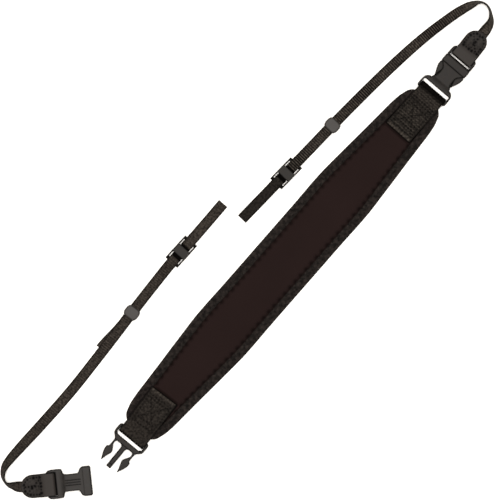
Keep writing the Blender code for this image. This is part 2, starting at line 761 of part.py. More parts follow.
# ---------------------------------------------------------------- keepers and sliders


def make_keeper(name, group, cutters):
    """Small domed sleeve with a tunnel for both layers of the webbing."""
    outline = four_sides([(x * MM, y * MM) for x, y in KEEPER_OUTLINE_MM])
    sleeve = prism(name, outline, 0, KEEPER_HEIGHT, group)
    chamfer_rims(sleeve, KEEPER_DOME, segments=2, top_only=True)
    half = NARROW_WEBBING / 2 + GAP
    roof = KEEPER_FLOOR + 2 * NARROW_THICKNESS + 3 * GAP
    low, high = (-CLEAR * 2, -half, KEEPER_FLOOR), (CLEAR * 2, half, roof)
    combine(sleeve, box(name + "_tunnel", low, high, cutters), "DIFFERENCE")
    finish(sleeve, KEEPER_PLASTIC)
    return sleeve


def make_slider(name, group, cutters):
    """Three-bar slider: low end bars, a raised middle bar and a rail along each side."""
    body = prism(
        name, both_ends(SLIDER_SIDE_MM), -SLIDER_WIDTH / 2, SLIDER_WIDTH / 2, group, upright=True
    )
    room = SLIDER_WIDTH / 2 - SLIDER_RAIL
    opening = prism(name + "_opening", both_ends(SLIDER_OPENING_MM), -room, room, cutters, upright=True)
    combine(body, opening, "DIFFERENCE")
    finish(body, PLASTIC)
    return body


# ---------------------------------------------------------------- the strap


def lay(thing, place, turn):
    thing.location = place
    thing.rotation_euler = (0, 0, turn)


def lay_on(thing, route, distance):
    """Lays a piece on the surface, over a place on a webbing's route and in line with it."""
    place, ahead = route.at(distance)
    lay(thing, place.to_3d(), atan2(ahead.y, ahead.x))


def main():
    for thing in list(bpy.data.objects):
        bpy.data.objects.remove(thing)
    parts = new_collection("camera_neck_strap")
    cutters = new_collection("cutters")

    make_pad(parts, cutters)
    make_binding(parts, cutters)

    pad_socket = make_socket(
        "pad_socket",
        WIDE_SOCKET_FRAME_MM,
        WIDE_SOCKET_NECK_MM,
        WIDE_SOCKET_FLOOR_MM,
        WIDE_SLOT,
        -WIDE_SOCKET_SLOT_END,
        WIDE_SOCKET_BAR,
        BAR_LENGTH,
        0,
        parts,
        cutters,
    )
    lay(pad_socket, SOCKET_MOUTH, SOCKET_TURN)
    connector_socket = make_socket(
        "connector_socket",
        NARROW_SOCKET_FRAME_MM,
        NARROW_SOCKET_NECK_MM,
        (),
        NARROW_SLOT,
        -NARROW_SOCKET_SLOT_END,
        NARROW_SOCKET_BAR,
        NARROW_SOCKET_BAR_LENGTH,
        NECK_GROOVES,
        parts,
        cutters,
    )
    lay(connector_socket, LOOSE_MOUTH, LOOSE_TURN)
    pad_plug = make_plug(
        "pad_plug",
        WIDE_PLUG_FRAME_MM,
        WIDE_SLOT,
        -WIDE_PLUG_BASE,
        WIDE_PLUG_BAR,
        BAR_LENGTH,
        parts,
        cutters,
        gusset=WIDE_PLUG_GUSSET,
    )
    lay(pad_plug, PLUG_SHOULDER, PLUG_TURN)
    connector_plug = make_plug(
        "connector_plug",
        NARROW_PLUG_FRAME_MM,
        NARROW_SLOT,
        -NARROW_PLUG_BASE,
        NARROW_PLUG_BAR,
        NARROW_PLUG_BAR_LENGTH,
        parts,
        cutters,
        tongue=TONGUE_LENGTH,
    )
    out = Vector((cos(SOCKET_TURN), sin(SOCKET_TURN), 0))
    fastened = SOCKET_MOUTH + out * GAP
    lay(connector_plug, fastened, SOCKET_TURN + pi)

    make_tab("webbing_tab_fastened", TAB_FASTENED_END, SOCKET_MOUTH, SOCKET_TURN, WIDE_SOCKET_BAR, parts)
    make_tab("webbing_tab_open", TAB_OPEN_END, PLUG_SHOULDER, PLUG_TURN, WIDE_PLUG_BAR, parts)
    make_leather(
        "leather_tab_fastened",
        fastened,
        SOCKET_TURN + pi,
        NARROW_PLUG_BAR,
        NARROW_PLUG_BAR_LENGTH,
        LEATHER_FASTENED_TIP,
        parts,
    )
    make_leather(
        "leather_tab_loose",
        LOOSE_MOUTH,
        LOOSE_TURN,
        NARROW_SOCKET_BAR,
        NARROW_SOCKET_BAR_LENGTH,
        LEATHER_LOOSE_TIP,
        parts,
    )

    for which, rows, slider, keeper, tail, tail_shift in (
        ("fastened", FASTENED_ROUTE, FASTENED_SLIDER_AT, FASTENED_KEEPER_AT, FASTENED_TAIL_AT, 0.0),
        ("loose", LOOSE_ROUTE, LOOSE_SLIDER_AT, LOOSE_KEEPER_AT, LOOSE_TAIL_AT, LOOSE_TAIL_SHIFT),
    ):
        route = Route([(x * MM, y * MM, roll, lift * MM) for x, y, roll, lift in rows])
        slider_at, keeper_at, tail_at = (route.length - back for back in (slider, keeper, tail))
        name = "connector_strap_" + which
        make_narrow_webbing(name, route, slider_at, keeper_at, tail_at, tail_shift, parts)
        lay_on(make_slider("strap_slider_" + which, parts, cutters), route, slider_at)
        lay_on(make_keeper("strap_keeper_" + which, parts, cutters), route, keeper_at)


main()
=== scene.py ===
"""Camera neck strap: the soft and moulded pieces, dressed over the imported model.

The strap lies flat on a pale floor and is seen from straight above, as in the
photograph. All sizes are in metres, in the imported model's frame: +X along the
pad towards the fastened buckle, +Z up, with the pad's underside at z = 0.
"""

from math import cos, hypot, pi, radians, sin

import bmesh
import bpy
import numpy as np
from bpy.props import FloatProperty, FloatVectorProperty, IntProperty, PointerProperty
from mathutils import Matrix, Vector


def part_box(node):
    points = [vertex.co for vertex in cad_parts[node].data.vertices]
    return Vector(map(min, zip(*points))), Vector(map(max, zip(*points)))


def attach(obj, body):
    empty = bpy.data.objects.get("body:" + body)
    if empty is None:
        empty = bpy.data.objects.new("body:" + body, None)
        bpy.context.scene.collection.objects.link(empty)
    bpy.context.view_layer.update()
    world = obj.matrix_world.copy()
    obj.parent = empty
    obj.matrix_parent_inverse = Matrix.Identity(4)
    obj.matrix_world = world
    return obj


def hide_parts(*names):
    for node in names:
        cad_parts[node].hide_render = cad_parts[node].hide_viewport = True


bl_info = {
    "name": "Camera Neck Strap",
    "version": (1, 0, 0),
    "blender": (4, 5, 0),
    "location": "View3D > Sidebar > Neck Strap",
    "description": "Builds a padded camera neck strap over its packed model",
    "category": "Object",
}

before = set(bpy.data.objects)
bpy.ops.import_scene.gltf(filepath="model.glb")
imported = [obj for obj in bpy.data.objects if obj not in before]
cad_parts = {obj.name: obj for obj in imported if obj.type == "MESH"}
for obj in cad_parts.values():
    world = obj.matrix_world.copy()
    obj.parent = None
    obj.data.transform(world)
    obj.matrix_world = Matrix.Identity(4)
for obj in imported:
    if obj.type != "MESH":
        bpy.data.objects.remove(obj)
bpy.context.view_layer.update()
MM = 0.001
ROOT = "root"


def span(node, axis):
    """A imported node's size along an axis."""
    low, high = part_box(node)
    return high[axis] - low[axis]


# -------------------- where things lie

# half of the pad's outline: distance from its middle, half-width there
PAD_OUTLINE_MM = (
    (0.0, 27.5), (45.0, 27.5), (88.0, 27.5), (103.0, 26.5), (120.5, 25.3), (138.0, 24.0), (156.0, 22.8),
    (173.5, 21.5), (180.5, 20.4), (184.5, 19.2),
)
PAD_END_RADIUS = 11.0 * MM
PAD_CORNER_ANGLES = range(66, -1, -3)
SIDE_POINTS = 120
EDGE_BLEND = 8  # stations over which the way in from the edge is evened
FOAM_BORDER = 8.0 * MM  # rings run along the edge out to here, and towards the pad's spine beyond
FOAM_RINGS_MM = (2.2, 5.0, 7.0, 7.5, 8.0, 8.5, 9.0, 9.6, 10.3, 11.2, 12.3, 13.8, 16, 19, 22, 25, 27.5)
TUCKED_IN = 7.0 * MM  # the foam's edge inside the binding
TUCKED_LEVELS = (2.4 * MM, 1.5 * MM)
FOAM_SWAY, SWAY_LENGTHS = 0.06 * MM, (31 * MM, 11 * MM)  # the foam's face isn't quite even
SWAY_START, SWAY_RISE = 10 * MM, 6 * MM

# Heights across the pad's edge: distance in from the edge, top of the foam, underside of the foam
FOAM_EDGE_MM = (
    (7.0, 2.7, 1.25), (7.9, 3.0, 0.95), (8.6, 3.75, 0.5), (9.5, 4.75, 0.22), (10.6, 5.45, 0.08),
    (12.0, 5.9, 0.0), (14.0, 6.15, 0.0), (18.0, 6.3, 0.0), (27.5, 6.4, 0.0),
)
# The binding's section, round from the inner lip on top to the inner lip underneath:
# distance in from the edge, height, share of the quilting there
BINDING_SECTION_MM = (
    (8.05, 3.15, 0.5), (7.85, 3.5, 0.8), (7.3, 3.72, 1.0), (6.6, 3.85, 1.0), (5.9, 3.95, 1.0),
    (5.2, 4.0, 1.0), (4.5, 4.0, 1.0), (3.9, 3.96, 1.0), (3.3, 3.9, 1.0), (2.7, 3.8, 1.0), (2.1, 3.65, 0.9),
    (1.5, 3.4, 0.7), (0.9, 3.0, 0.4), (0.4, 2.5, 0.1), (0.1, 1.9, 0.0), (0.3, 1.2, 0.0), (0.8, 0.6, 0.0),
    (1.6, 0.28, -0.2), (2.6, 0.2, -0.4), (3.6, 0.2, -0.4), (4.6, 0.2, -0.4), (5.6, 0.22, -0.4),
    (6.6, 0.28, -0.4), (7.5, 0.4, -0.3), (8.0, 0.75, 0.0), (7.7, 1.05, 0.0), (5.0, 1.2, 0.0),
    (2.0, 1.35, 0.0), (1.3, 1.9, 0.0), (2.0, 2.5, 0.0), (5.0, 2.75, 0.0), (7.7, 2.85, 0.0),
)
SEAM_DENT = 0.75 * MM  # half the width of the dent along the zigzag thread
SEAM_LEVELS = ((3.72 * MM, 3.62 * MM, 1), (0.23 * MM, 0.3 * MM, -1))
PUFF = 0.35 * MM  # how far the binding swells between two needle holes
PUFF_MIDDLE = 5.5 * MM
HOLE_PITS = (1.05 * MM, 1.3 * MM)  # how wide the outer and the inner needle holes are drawn in
HOLE_SHARE = 0.06  # of a stitch, hidden in each of its holes
UNCOVERED = 0.05  # a stitch under a tab is left out above this

BUCKLE_LEVEL = 4.2 * MM
SOCKET_MOUTH = Vector((235.3 * MM, 0.3 * MM, BUCKLE_LEVEL))
SOCKET_TURN = radians(0.6)
PLUG_SHOULDER = Vector((-211.9 * MM, -0.95 * MM, BUCKLE_LEVEL))
PLUG_TURN = radians(181.7)
LOOSE_MOUTH = Vector((-253.3 * MM, 1.6 * MM, BUCKLE_LEVEL))
LOOSE_TURN = radians(-42.75)
BAR_HALF = 1.5 * MM
CLEAR = 0.3 * MM
FOLD_PLAY = 0.7 * MM

# A band folded round a bar, wide webbing first: node, x and y of its far end, where its buckle
# has its zero, the buckle's turn, from there back to the bar, the bar's length
WIDE_TABS = (
    ("webbing_tab_fastened", (154.2, 0.1), SOCKET_MOUTH, SOCKET_TURN, 34.2, 4.1),
    ("webbing_tab_open", (-155.4, 2.2), PLUG_SHOULDER, PLUG_TURN, 10.2, 4.1),
)
# How a tab is woven and sewn: how bold its cross ribs and its lengthwise lines are, how dull its
# nylon is, how far before its fold the painted shade is full and gone, how dark the painted shade in its
# needle holes is, and how far from its end the seams across it lie, the first and the last with a cross
# between
TAB_WEAVES = (
    (0.6, 0.5, 0.55, (1.1, 5.5), 0.9, (3.8, 8.5, 13.0, 27.4, 30.8, 33.6)),
    (0.25, 0.4, 0.8, (-1.9, -0.5), 0.8, (5.4, 8.2, 27.6, 32.6)),
)
PLUG_MOUTH = SOCKET_MOUTH + Vector((cos(SOCKET_TURN), sin(SOCKET_TURN), 0)) * CLEAR
# The same for leather, and how far its fold reaches, how far its lower half droops, how far before the
# fold the stitching ends in a row across, and how many steps of the fold's upper half are in the dark
LEATHER_TABS = (
    ("leather_tab_fastened", (268.8, 1.3), PLUG_MOUTH, SOCKET_TURN + pi, 4.2, 5.6, 2.15, 0.0, 8.5, 11),
    ("leather_tab_loose", (-299.0, 44.0), LOOSE_MOUTH, LOOSE_TURN, 34.8, 4.8, 2.8, 4.6, 7.8, 1),
)
BAND_STEP = 0.22 * MM
AT_ONCE = 4000  # points set against the needle holes in one go
TAB_FREE_LENGTH = 8.2 * MM
TAB_RAMP = 3.3 * MM
TAB_LAYERS = (4.8 * MM, 6.5 * MM)
TAB_REACH = 2.5 * MM
TAB_HEM = ((0.8 * MM, 0), (3.4 * MM, 1))  # the folded-under end shows no ribs
TAB_END_SHADE = ((0.1 * MM, 0.9), (0.7 * MM, 0))  # painted shade on the end's own edge
TAB_CURL = (1.2 * MM, 0.5 * MM)  # where the end turns down, and by how much
TAB_SHORTER = 6  # stations less underneath
TAB_HOLE = 0.55 * MM
# painted shade on the webbing where it turns down round the bar: full and gone
TAB_FOLD_SHADE = (0.95, 0)
TAB_RIB_SHARE = 0.8  # of a bold rib's height
TAB_YARN, STRAP_YARN = 1.5 * MM, 1.35 * MM  # how wide a bundle of yarns is before the ribs step aside
RIB_STAGGER = 0.5
TAB_ON_PAD = 34.0 * MM  # where its stitches come through underneath
TAB_HALF = 13.5 * MM
TAB_SHADE = ((0.4 * MM, 1), (1.7 * MM, 0))  # on the pad beside it
PRESSED_BEFORE = ((-3.4 * MM, 0), (-0.5 * MM, 1))
PRESSED_BESIDE = ((13.8 * MM, 1), (16.2 * MM, 0))
PRESSED_FOAM = (3.7 * MM, 0.3 * MM)  # highest top and lowest underside below a tab
PRESSED_BINDING = 3.75 * MM
LEATHER_RAMP = 12.0 * MM
LEATHER_LAYERS = (1.0 * MM, 4.8 * MM)
LEATHER_FOLD = 1.0 * MM  # from the bar's clearance to the middle of the leather
LEATHER_SQUARE = 0.5
LEATHER_DROP = 1.65 * MM
LEATHER_TIP = ((1.5 * MM, 0.6), (4.5 * MM, 0))
LEATHER_HELD = ((-2.0 * MM, 1), (4.0 * MM, 0))  # sewn down before its ramp and free after it
LEATHER_STRETCH = ((-3.0 * MM, 0), (1.5 * MM, 1))  # smooth from about the last row of stitches on
LEATHER_TIP_INSET = 0.15 * MM
BESIDE_STRAP = ((4.4 * MM, 0), (9.4 * MM, 1))

# points across the top of a tab, of a connector and of the leather, and how square the leather's edge is
TAB_COLUMNS, STRAP_COLUMNS, HIDE_COLUMNS, HIDE_EDGE = 34, 12, 44, 0.55
# stitches: the thread's share of their length, how far they sink in, their level underneath, their radius
TAB_STITCHES = (0.8, 0.02 * MM, 0.24 * MM, 0.22 * MM)
HIDE_STITCHES = (0.6, 0.03 * MM, 0.16 * MM, 0.2 * MM)
TAB_SEAM_INSET, HIDE_SEAM_INSET = 2.6 * MM, 2.7 * MM
SEAM_DROP = 0.4  # of the leather's drop, where it is sewn

# The narrow webbings' routes, from the leather to the fold for the camera's lug:
# x, y, roll on edge in degrees (left edge up), height above where the band would rest
FASTENED_ROUTE = (
    (251.0, 0.6, 0, 2.25), (262.0, 0.8, 0, 2.25), (269.5, 0.9, 0, 2.25), (272.2, 1.0, 10, 1.9),
    (275.4, 1.3, 26, 1.2), (279.0, 1.9, 42, 0.6), (282.5, 3.5, 60, 0.2), (285.8, 6.6, 73, 0),
    (288.6, 10.6, 79, 0), (289.8, 15.0, 80, 0), (289.0, 19.0, 80, 0), (286.8, 21.9, 73, 0),
    (283.6, 23.8, 57, 0), (279.6, 25.8, 42, 0), (270.2, 29.2, 29, 0), (252.6, 33.6, 24, 0),
    (226.0, 38.5, 16, 0), (199.8, 41.7, 6, 0), (164.6, 44.7, 0, 0), (129.4, 47.0, 0, 0), (85.4, 49.1, 0, 0),
    (44.9, 51.2, 0, 0), (6.4, 53.1, 0, 0),
)
LOOSE_ROUTE = (
    (-287.0, 32.8, 0, 2.25), (-293.0, 38.4, 0, 2.25), (-298.8, 44.8, 0, 2.25), (-300.4, 47.0, -14, 1.8),
    (-302.3, 50.2, -44, 0.8), (-304.0, 53.2, -62, 0.2), (-304.7, 56.0, -76, 0), (-304.1, 59.0, -78, 0),
    (-302.2, 62.2, -70, 0), (-298.6, 65.1, -60, 0), (-293.6, 67.0, -46, 0), (-287.0, 67.6, -36, 0),
    (-273.7, 67.6, -24, 0), (-250.0, 67.0, -10, 0), (-225.0, 66.7, 0, 0), (-205.0, 66.8, 0, 0),
    (-175.1, 68.2, 0, 0), (-147.0, 69.9, 0, 0), (-119.1, 71.8, 0, 0), (-90.6, 73.4, 0, 0),
    (-64.2, 74.5, 0, 0), (-36.1, 74.2, 0, 0), (6.2, 74.5, 0, 0),
)
# A connector: node, route, how far before the fold its slider, its keeper and its tail lie,
# the tail's shift to one side, how bold its ribs are, how dull its nylon is, and past the slider
CONNECTORS = (
    ("connector_strap_fastened", FASTENED_ROUTE, 56.1, 114.7, 155.0, 0.0, 1.0, 0.0, 0.97),
    ("connector_strap_loose", LOOSE_ROUTE, 56.3, 125.4, 168.8, 2.6, 0.6, 0.35, 0.4),
)
SELVEDGE = 1.7 * MM  # dark, tightly woven edge of the nylon
RIB_FURROW = (0.16, 0.58)  # where a groove begins and is deep, from a crest at 0 to a furrow at 1
WARP_FURROW = (0.4, 0.9)
REST = 0.05 * MM
STRAP_STEP = 0.25 * MM
END_PART = ((48 * MM, 1), (60 * MM, 0))  # the part past the slider
WANDER, WANDER_LENGTHS = 0.15, (23 * MM, 9 * MM)  # the ribs aren't equally bold all along
TIGHT_ROLL = ((26, 0), (44, 1))  # ribs close up where the webbing stands on edge
TIGHT_START = ((24 * MM, 0.6), (44 * MM, 0))
TAIL_STEP = 5.0 * MM
TAIL_FADE = 34.0 * MM
BAR_LIFT = 1.65 * MM  # what a slider's end bars lift the webbing by
FLOOR_LIFT = 1.45 * MM  # the same for a keeper's floor
SLIDER_RISE_MM = ((-17.0, 0), (-13.6, 1), (-7.4, 1), (-5.6, 0), (5.6, 0), (7.4, 1), (13.6, 1), (17.0, 0))
# painted shade on the webbing where it dives under the middle bar, from +X to -X
SLIDER_SHADE_MM = ((-6.9, 0), (-6.2, 1), (7.5, 1), (8.3, 0))
KEEPER_RISE_MM = ((-9.5, 0), (-5.8, 1), (5.8, 1), (9.5, 0))

# a moulding's copy: points merged, slivers and flat faces joined, edges rounded and kept sharp
MERGED = 0.002 * MM
FOLDED_FLAT, SAME_FACE, ROUNDED_FROM, SHARP_FROM = (radians(angle) for angle in (170, 0.6, 38, 50))

# the photograph's right and up on the floor, and the point at its centre
PHOTO_RIGHT = Vector((0.6581, -0.7531, 0))
PHOTO_UP = Vector((0.7531, 0.6581, 0))
PHOTO_CENTRE = Vector((-10.7 * MM, 31.5 * MM, 0))
ABOVE = Vector((0, 0, 1))
FLOOR_SIZE = 8.0
SENSOR_WIDTH = 36.0


# -------------------- settings


def linear(hex_colour):
    """An sRGB hex colour as linear red, green and blue."""
    channels = [int(hex_colour[i : i + 2], 16) / 255 for i in (1, 3, 5)]
    return tuple(c / 12.92 if c <= 0.04045 else ((c + 0.055) / 1.055) ** 2.4 for c in channels)


def length_setting(label, about, metres):
    """A size that a user may change."""
    return FloatProperty(name=label, description=about, default=metres, min=0, unit="LENGTH")


def colour_setting(label, about, hex_colour):
    """A colour that a user may change."""
    return FloatVectorProperty(
        name=label, description=about, default=linear(hex_colour), subtype="COLOR", size=3, min=0, max=1
    )


class StrapPadSettings(bpy.types.PropertyGroup):
    """The padded middle and its binding."""

    length: length_setting("Length", "Pad from end to end", span("edge_binding", 0))
    station: length_setting("Mesh Step", "Distance between points along the edge", 0.6 * MM)
    period: length_setting("Zigzag Period", "Distance between two outer needle holes", 7.1 * MM)
    outer_hole: length_setting("Outer Holes", "Outer needle holes, in from the edge", 3.9 * MM)
    inner_hole: length_setting("Inner Holes", "Inner needle holes, in from the edge", 8.8 * MM)
    quilting: length_setting("Quilting", "How deep the thread pulls the binding in", 0.75 * MM)
    pit: length_setting("Pit Depth", "How deep a needle hole is drawn in", 1.3 * MM)
    thread: length_setting("Thread", "Radius of the sewing thread", 0.21 * MM)
    neoprene: colour_setting("Neoprene", "Jersey face of the foam", "#1c1312")
    binding: colour_setting("Binding", "Stretch binding", "#1b1715")
    sewing: colour_setting("Sewing Thread", "Bonded thread", "#181614")


class StrapWebbingSettings(bpy.types.PropertyGroup):
    """Woven nylon, wide and narrow."""

    wide: length_setting("Wide Width", "Webbing of the tabs on the pad", 27.0 * MM)
    wide_thickness: length_setting("Wide Thickness", "One layer", 1.4 * MM)
    wide_pitch: length_setting("Wide Rib Pitch", "Distance between cross ribs", 2.28 * MM)
    warp_pitch: length_setting("Wide Warp Pitch", "Distance between lengthwise lines", 2.65 * MM)
    narrow: length_setting("Narrow Width", "Webbing of the connectors", 9.6 * MM)
    narrow_thickness: length_setting("Narrow Thickness", "One layer", 1.2 * MM)
    narrow_pitch: length_setting("Narrow Rib Pitch", "Distance between cross ribs", 2.08 * MM)
    rib: length_setting("Rib Height", "From the groove to the crest of a bold rib", 0.42 * MM)
    stitch: length_setting("Stitch Length", "On the tabs", 3.0 * MM)
    crest: colour_setting("Rib Crest", "Nylon on the crest of a rib", "#4a443e")
    # near black, used for the painted shade in the grooves between ribs
    groove: colour_setting("Rib Groove", "Nylon between ribs", "#030202")


class StrapLeatherSettings(bpy.types.PropertyGroup):
    """Leather tabs between the narrow webbing and the buckles."""

    width: length_setting("Width", "Leather tab", 20.4 * MM)
    thickness: length_setting("Thickness", "One layer", 1.8 * MM)
    grain: length_setting("Grain", "Size of a pebble in the grain", 0.75 * MM)
    stitch: length_setting("Stitch Length", "On the leather", 2.9 * MM)
    face: colour_setting("Face", "Grain side", "#211e1c")
    cut: colour_setting("Cut Edge", "Dyed cut edge", "#12100f")


class StrapBuckleSettings(bpy.types.PropertyGroup):
    """Moulded buckles, keepers and sliders."""

    edge: length_setting("Edge Radius", "On the moulded edges", 0.8 * MM)
    # painted shade along a moulding's edges: how far in from them it reaches
    worn: length_setting("Edge Shade", "How far in from its edges a moulding is darker", 1.6 * MM)
    edge_steps: IntProperty(name="Edge Steps", description="Faces across an edge", default=2, min=1)
    plastic: colour_setting("Buckle Plastic", "Moulded acetal", "#191614")
    keeper: colour_setting("Keeper Plastic", "Softer plastic of the keepers", "#252220")


class StrapStageSettings(bpy.types.PropertyGroup):
    """Floor, lights and camera."""

    view_width: length_setting("View Width", "What the photograph spans from side to side", 435.6 * MM)
    distance: length_setting("Camera Distance", "Height of the camera", 3.2)
    floor: colour_setting("Floor", "Matt pale paper", "#fbfbfa")
    overhead: FloatProperty(name="Overhead Softbox", description="Watts", default=190.0, min=0)
    key: FloatProperty(name="Key Softbox", description="Watts", default=8.0, min=0)
    sky: FloatProperty(name="Sky", description="Strength of the even light", default=0.25, min=0)
    warmth: colour_setting("Lamp Colour", "Slightly warm studio lamps", "#fffaf4")


# -------------------- materials


def add(tree, kind, into=(), out=0, **settings):
    """Adds a node and gives one of its outputs; its inputs take values or links, in order or by name."""
    node = tree.nodes.new(kind if "Node" in kind else "ShaderNode" + kind)
    for key, value in settings.items():
        setattr(node, key, value)
    for key, value in into.items() if isinstance(into, dict) else enumerate(into):
        if isinstance(value, bpy.types.NodeSocket):
            tree.links.new(value, node.inputs[key])
        else:
            node.inputs[key].default_value = value
    return node.outputs[out] if node.outputs else node


def shade(colour, factor=1.0):
    """A colour made darker or lighter, with its alpha."""
    return (*(min(1.0, channel * factor) for channel in colour), 1.0)


def bands(place, pitch, distortion=0.0):
    """What a wave texture takes for bands a pitch in metres apart."""
    return {"Vector": place, "Scale": pi / (10 * pitch), "Distortion": distortion}


def spots(place, size, detail=2.0):
    """What a noise texture takes for soft spots of about a size in metres."""
    return {"Vector": place, "Scale": 1 / size, "Detail": detail, "Roughness": 0.55}


def layered(tree, base, *layers):
    """A colour with others laid over it, each where an attribute or a pattern says, up to its strength."""
    for share, strength, colour in layers:
        if isinstance(share, str):
            share = add(tree, "Attribute", out="Fac", attribute_name=share)
        if strength < 1:
            share = add(tree, "Math", (share, strength), operation="MULTIPLY")
        base = add(tree, "Mix", {0: share, 6: base, 7: colour}, 2, data_type="RGBA")
    return base


def mottled(tree, place, size, colour, contrast):
    """A colour in soft spots of about a size in metres, darker and lighter by a contrast."""
    cloud = add(tree, "TexNoise", spots(place, size))
    share = add(tree, "MapRange", {"Value": cloud, "From Min": 0.36, "From Max": 0.64})
    return layered(tree, shade(colour, 1 - contrast), (share, 1, shade(colour, 1 + contrast)))


def start_material(name, colour, roughness, ior, gloss):
    """A material with the plain values of its shader, and its tree."""
    material = bpy.data.materials.new(name)
    material.use_nodes = True
    material.diffuse_color = shade(colour)
    tree = material.node_tree
    values = {"Base Color": shade(colour), "Roughness": roughness, "IOR": ior, "Specular IOR Level": gloss}
    for key, value in values.items():
        tree.nodes["Principled BSDF"].inputs[key].default_value = value
    return material, tree


def finish(material, height, depth, strength, base=None, rough=None, **into):
    """Gives a shader its bump, from a height of 0 to 1 and its real depth, its colour and its roughness."""
    tree = material.node_tree
    bump = add(tree, "Bump", {"Height": height, "Distance": depth, "Strength": strength, **into})
    for key, value in (("Normal", bump), ("Base Color", base), ("Roughness", rough)):
        if value is not None:
            tree.links.new(value, tree.nodes["Principled BSDF"].inputs[key])
    return material


def made(maker, settings):
    """A material that is named for its function, made once."""
    return bpy.data.materials.get(maker.__name__) or maker(settings)


def neoprene_jersey(settings):
    """Foam rubber faced with fine polyester jersey: dull and brownish, wales 0.9 mm apart, with painted shade
    at the needle holes and beside the tabs.
    """
    material, tree = start_material("neoprene_jersey", settings.neoprene, 0.85, 1.45, 0.05)
    place = add(tree, "TexCoord", out="Object")
    wales = add(tree, "TexWave", bands(place, 0.9 * MM, 0.6), "Fac", bands_direction="Y")
    courses = add(tree, "TexWave", bands(place, 0.7 * MM, 0.6), "Fac", bands_direction="X")
    knit = add(tree, "Math", (wales, courses), operation="MULTIPLY")
    cloud = add(tree, "TexNoise", spots(place, 45 * MM))
    base = layered(
        tree,
        shade(settings.neoprene, 0.86),
        (cloud, 1, shade(settings.neoprene, 1.14)),
        # painted shade at the needle holes and painted shadow beside the tabs
        ("pinch", 0.96, shade(settings.neoprene, 0.06)),
    )
    return finish(material, knit, 0.12 * MM, 0.6, base)


def stretch_binding(settings):
    """Warp-knitted nylon binding: dull grey-black with a fine diagonal, drawn in at the needle holes, with
    painted shade there, along the thread and beside the tabs.
    """
    material, tree = start_material("stretch_binding", settings.binding, 0.8, 1.45, 0.1)
    place = add(tree, "TexCoord", out="Object")
    twill = add(tree, "TexWave", bands(place, 0.8 * MM, 1.0), "Fac", bands_direction="DIAGONAL")
    base = mottled(tree, place, 2.6 * MM, settings.binding, 0.6)
    # painted shade in the dents at the needle holes and along the thread, and painted shadow beside the tabs
    base = layered(tree, base, ("pinch", 0.9, shade(settings.neoprene, 0.2)))
    return finish(material, twill, 0.15 * MM, 0.6, base)


def bonded_thread(settings):
    """Bonded polyester sewing thread, two plies twisted at 0.8 mm: black with a slight gloss."""
    material, tree = start_material("bonded_thread", settings.sewing, 0.6, 1.53, 0.08)
    place = add(tree, "TexCoord", out="Object")
    twist = add(tree, "TexWave", bands(place, 0.8 * MM), "Fac", bands_direction="DIAGONAL")
    return finish(material, twist, 0.08 * MM, 0.7)


def woven_nylon(settings):
    """Shuttle-woven nylon: light along the ribs' crests, with painted shade, nearly black, in the grooves
    between, yarns 0.55 mm apart.
    """
    material, tree = start_material("woven_nylon", settings.crest, 0.6, 1.53, 0.03)
    flat = add(tree, "UVMap", uv_map="weave")
    yarns = add(tree, "TexWave", bands(flat, 0.55 * MM), "Fac", bands_direction="Y")
    fibres = add(tree, "TexNoise", spots(flat, 0.9 * MM, 4.0))
    worn = add(tree, "TexNoise", spots(flat, 2.2 * MM))
    worn = add(tree, "MapRange", {"Value": worn, "From Min": 0.4, "From Max": 0.64, "To Max": 0.7})
    dark = shade(settings.groove)
    low = layered(tree, dark, (fibres, 1, shade(settings.groove, 2.2)))
    base = layered(
        tree,
        mottled(tree, flat, 14 * MM, settings.crest, 0.12),
        ("dull", 1, shade(settings.crest, 0.25)),
        (worn, 1, low),
        # painted shade in the grooves between the ribs, by how deep they lie
        ("groove", 1, low),
        (yarns, 0.22, dark),
        ("selvedge", 0.75, dark),
        # painted shade at needle holes, at the tab's end, round the fold and under the slider's middle bar
        ("pinch", 0.97, dark),
    )
    pinch = add(tree, "Attribute", out="Fac", attribute_name="pinch")
    rough = add(tree, "Math", (pinch, 0.35, 0.65), operation="MULTIPLY_ADD")
    ribbed = add(tree, "Math", (yarns, 0.7), operation="MULTIPLY")
    rubbed = add(tree, "Math", (fibres, 0.3), operation="MULTIPLY")
    height = add(tree, "Math", (ribbed, rubbed), operation="ADD")
    return finish(material, height, 0.12 * MM, 0.8, base, rough)


def corrected_leather(settings):
    """Black split leather with a pressed pebble grain: smooth where it is stretched over the bar, with
    painted shade at the needle holes and in the fold.
    """
    material, tree = start_material("corrected_leather", settings.face, 0.6, 1.48, 0.1)
    place = add(tree, "TexCoord", out="Object")
    grain = {"Vector": place, "Scale": 1 / settings.grain, "Randomness": 1.0}
    pebbles = add(tree, "TexVoronoi", grain, "Distance", feature="SMOOTH_F1")
    creases = add(tree, "TexNoise", spots(place, 2.5 * MM, 5.0))
    stretched = add(tree, "Attribute", out="Fac", attribute_name="stretched")
    deep = add(tree, "Math", (pebbles, -0.8), operation="MULTIPLY")
    fine = add(tree, "Math", (creases, 0.6), operation="MULTIPLY")
    taut = add(tree, "Math", (stretched, 0.75), operation="MULTIPLY")
    slack = add(tree, "Math", (1.0, taut), operation="SUBTRACT")
    height = add(tree, "Math", (deep, fine), operation="ADD")
    height = add(tree, "Math", (height, slack), operation="MULTIPLY")
    base = layered(
        tree,
        mottled(tree, place, 1.6 * MM, settings.face, 0.35),
        ("stretched", 1, shade(settings.face, 1.35)),
        ("cut", 1, shade(settings.cut)),
        # painted shade at the needle holes and in the fold round the bar
        ("pinch", 0.96, shade(settings.cut, 0.1)),
    )
    pinch = add(tree, "Attribute", out="Fac", attribute_name="pinch")
    rough = add(tree, "Math", (stretched, -0.05, 0.6), operation="MULTIPLY_ADD")
    rough = add(tree, "Math", (rough, pinch), operation="MAXIMUM")
    return finish(material, height, 0.3 * MM, 0.8, base, rough)


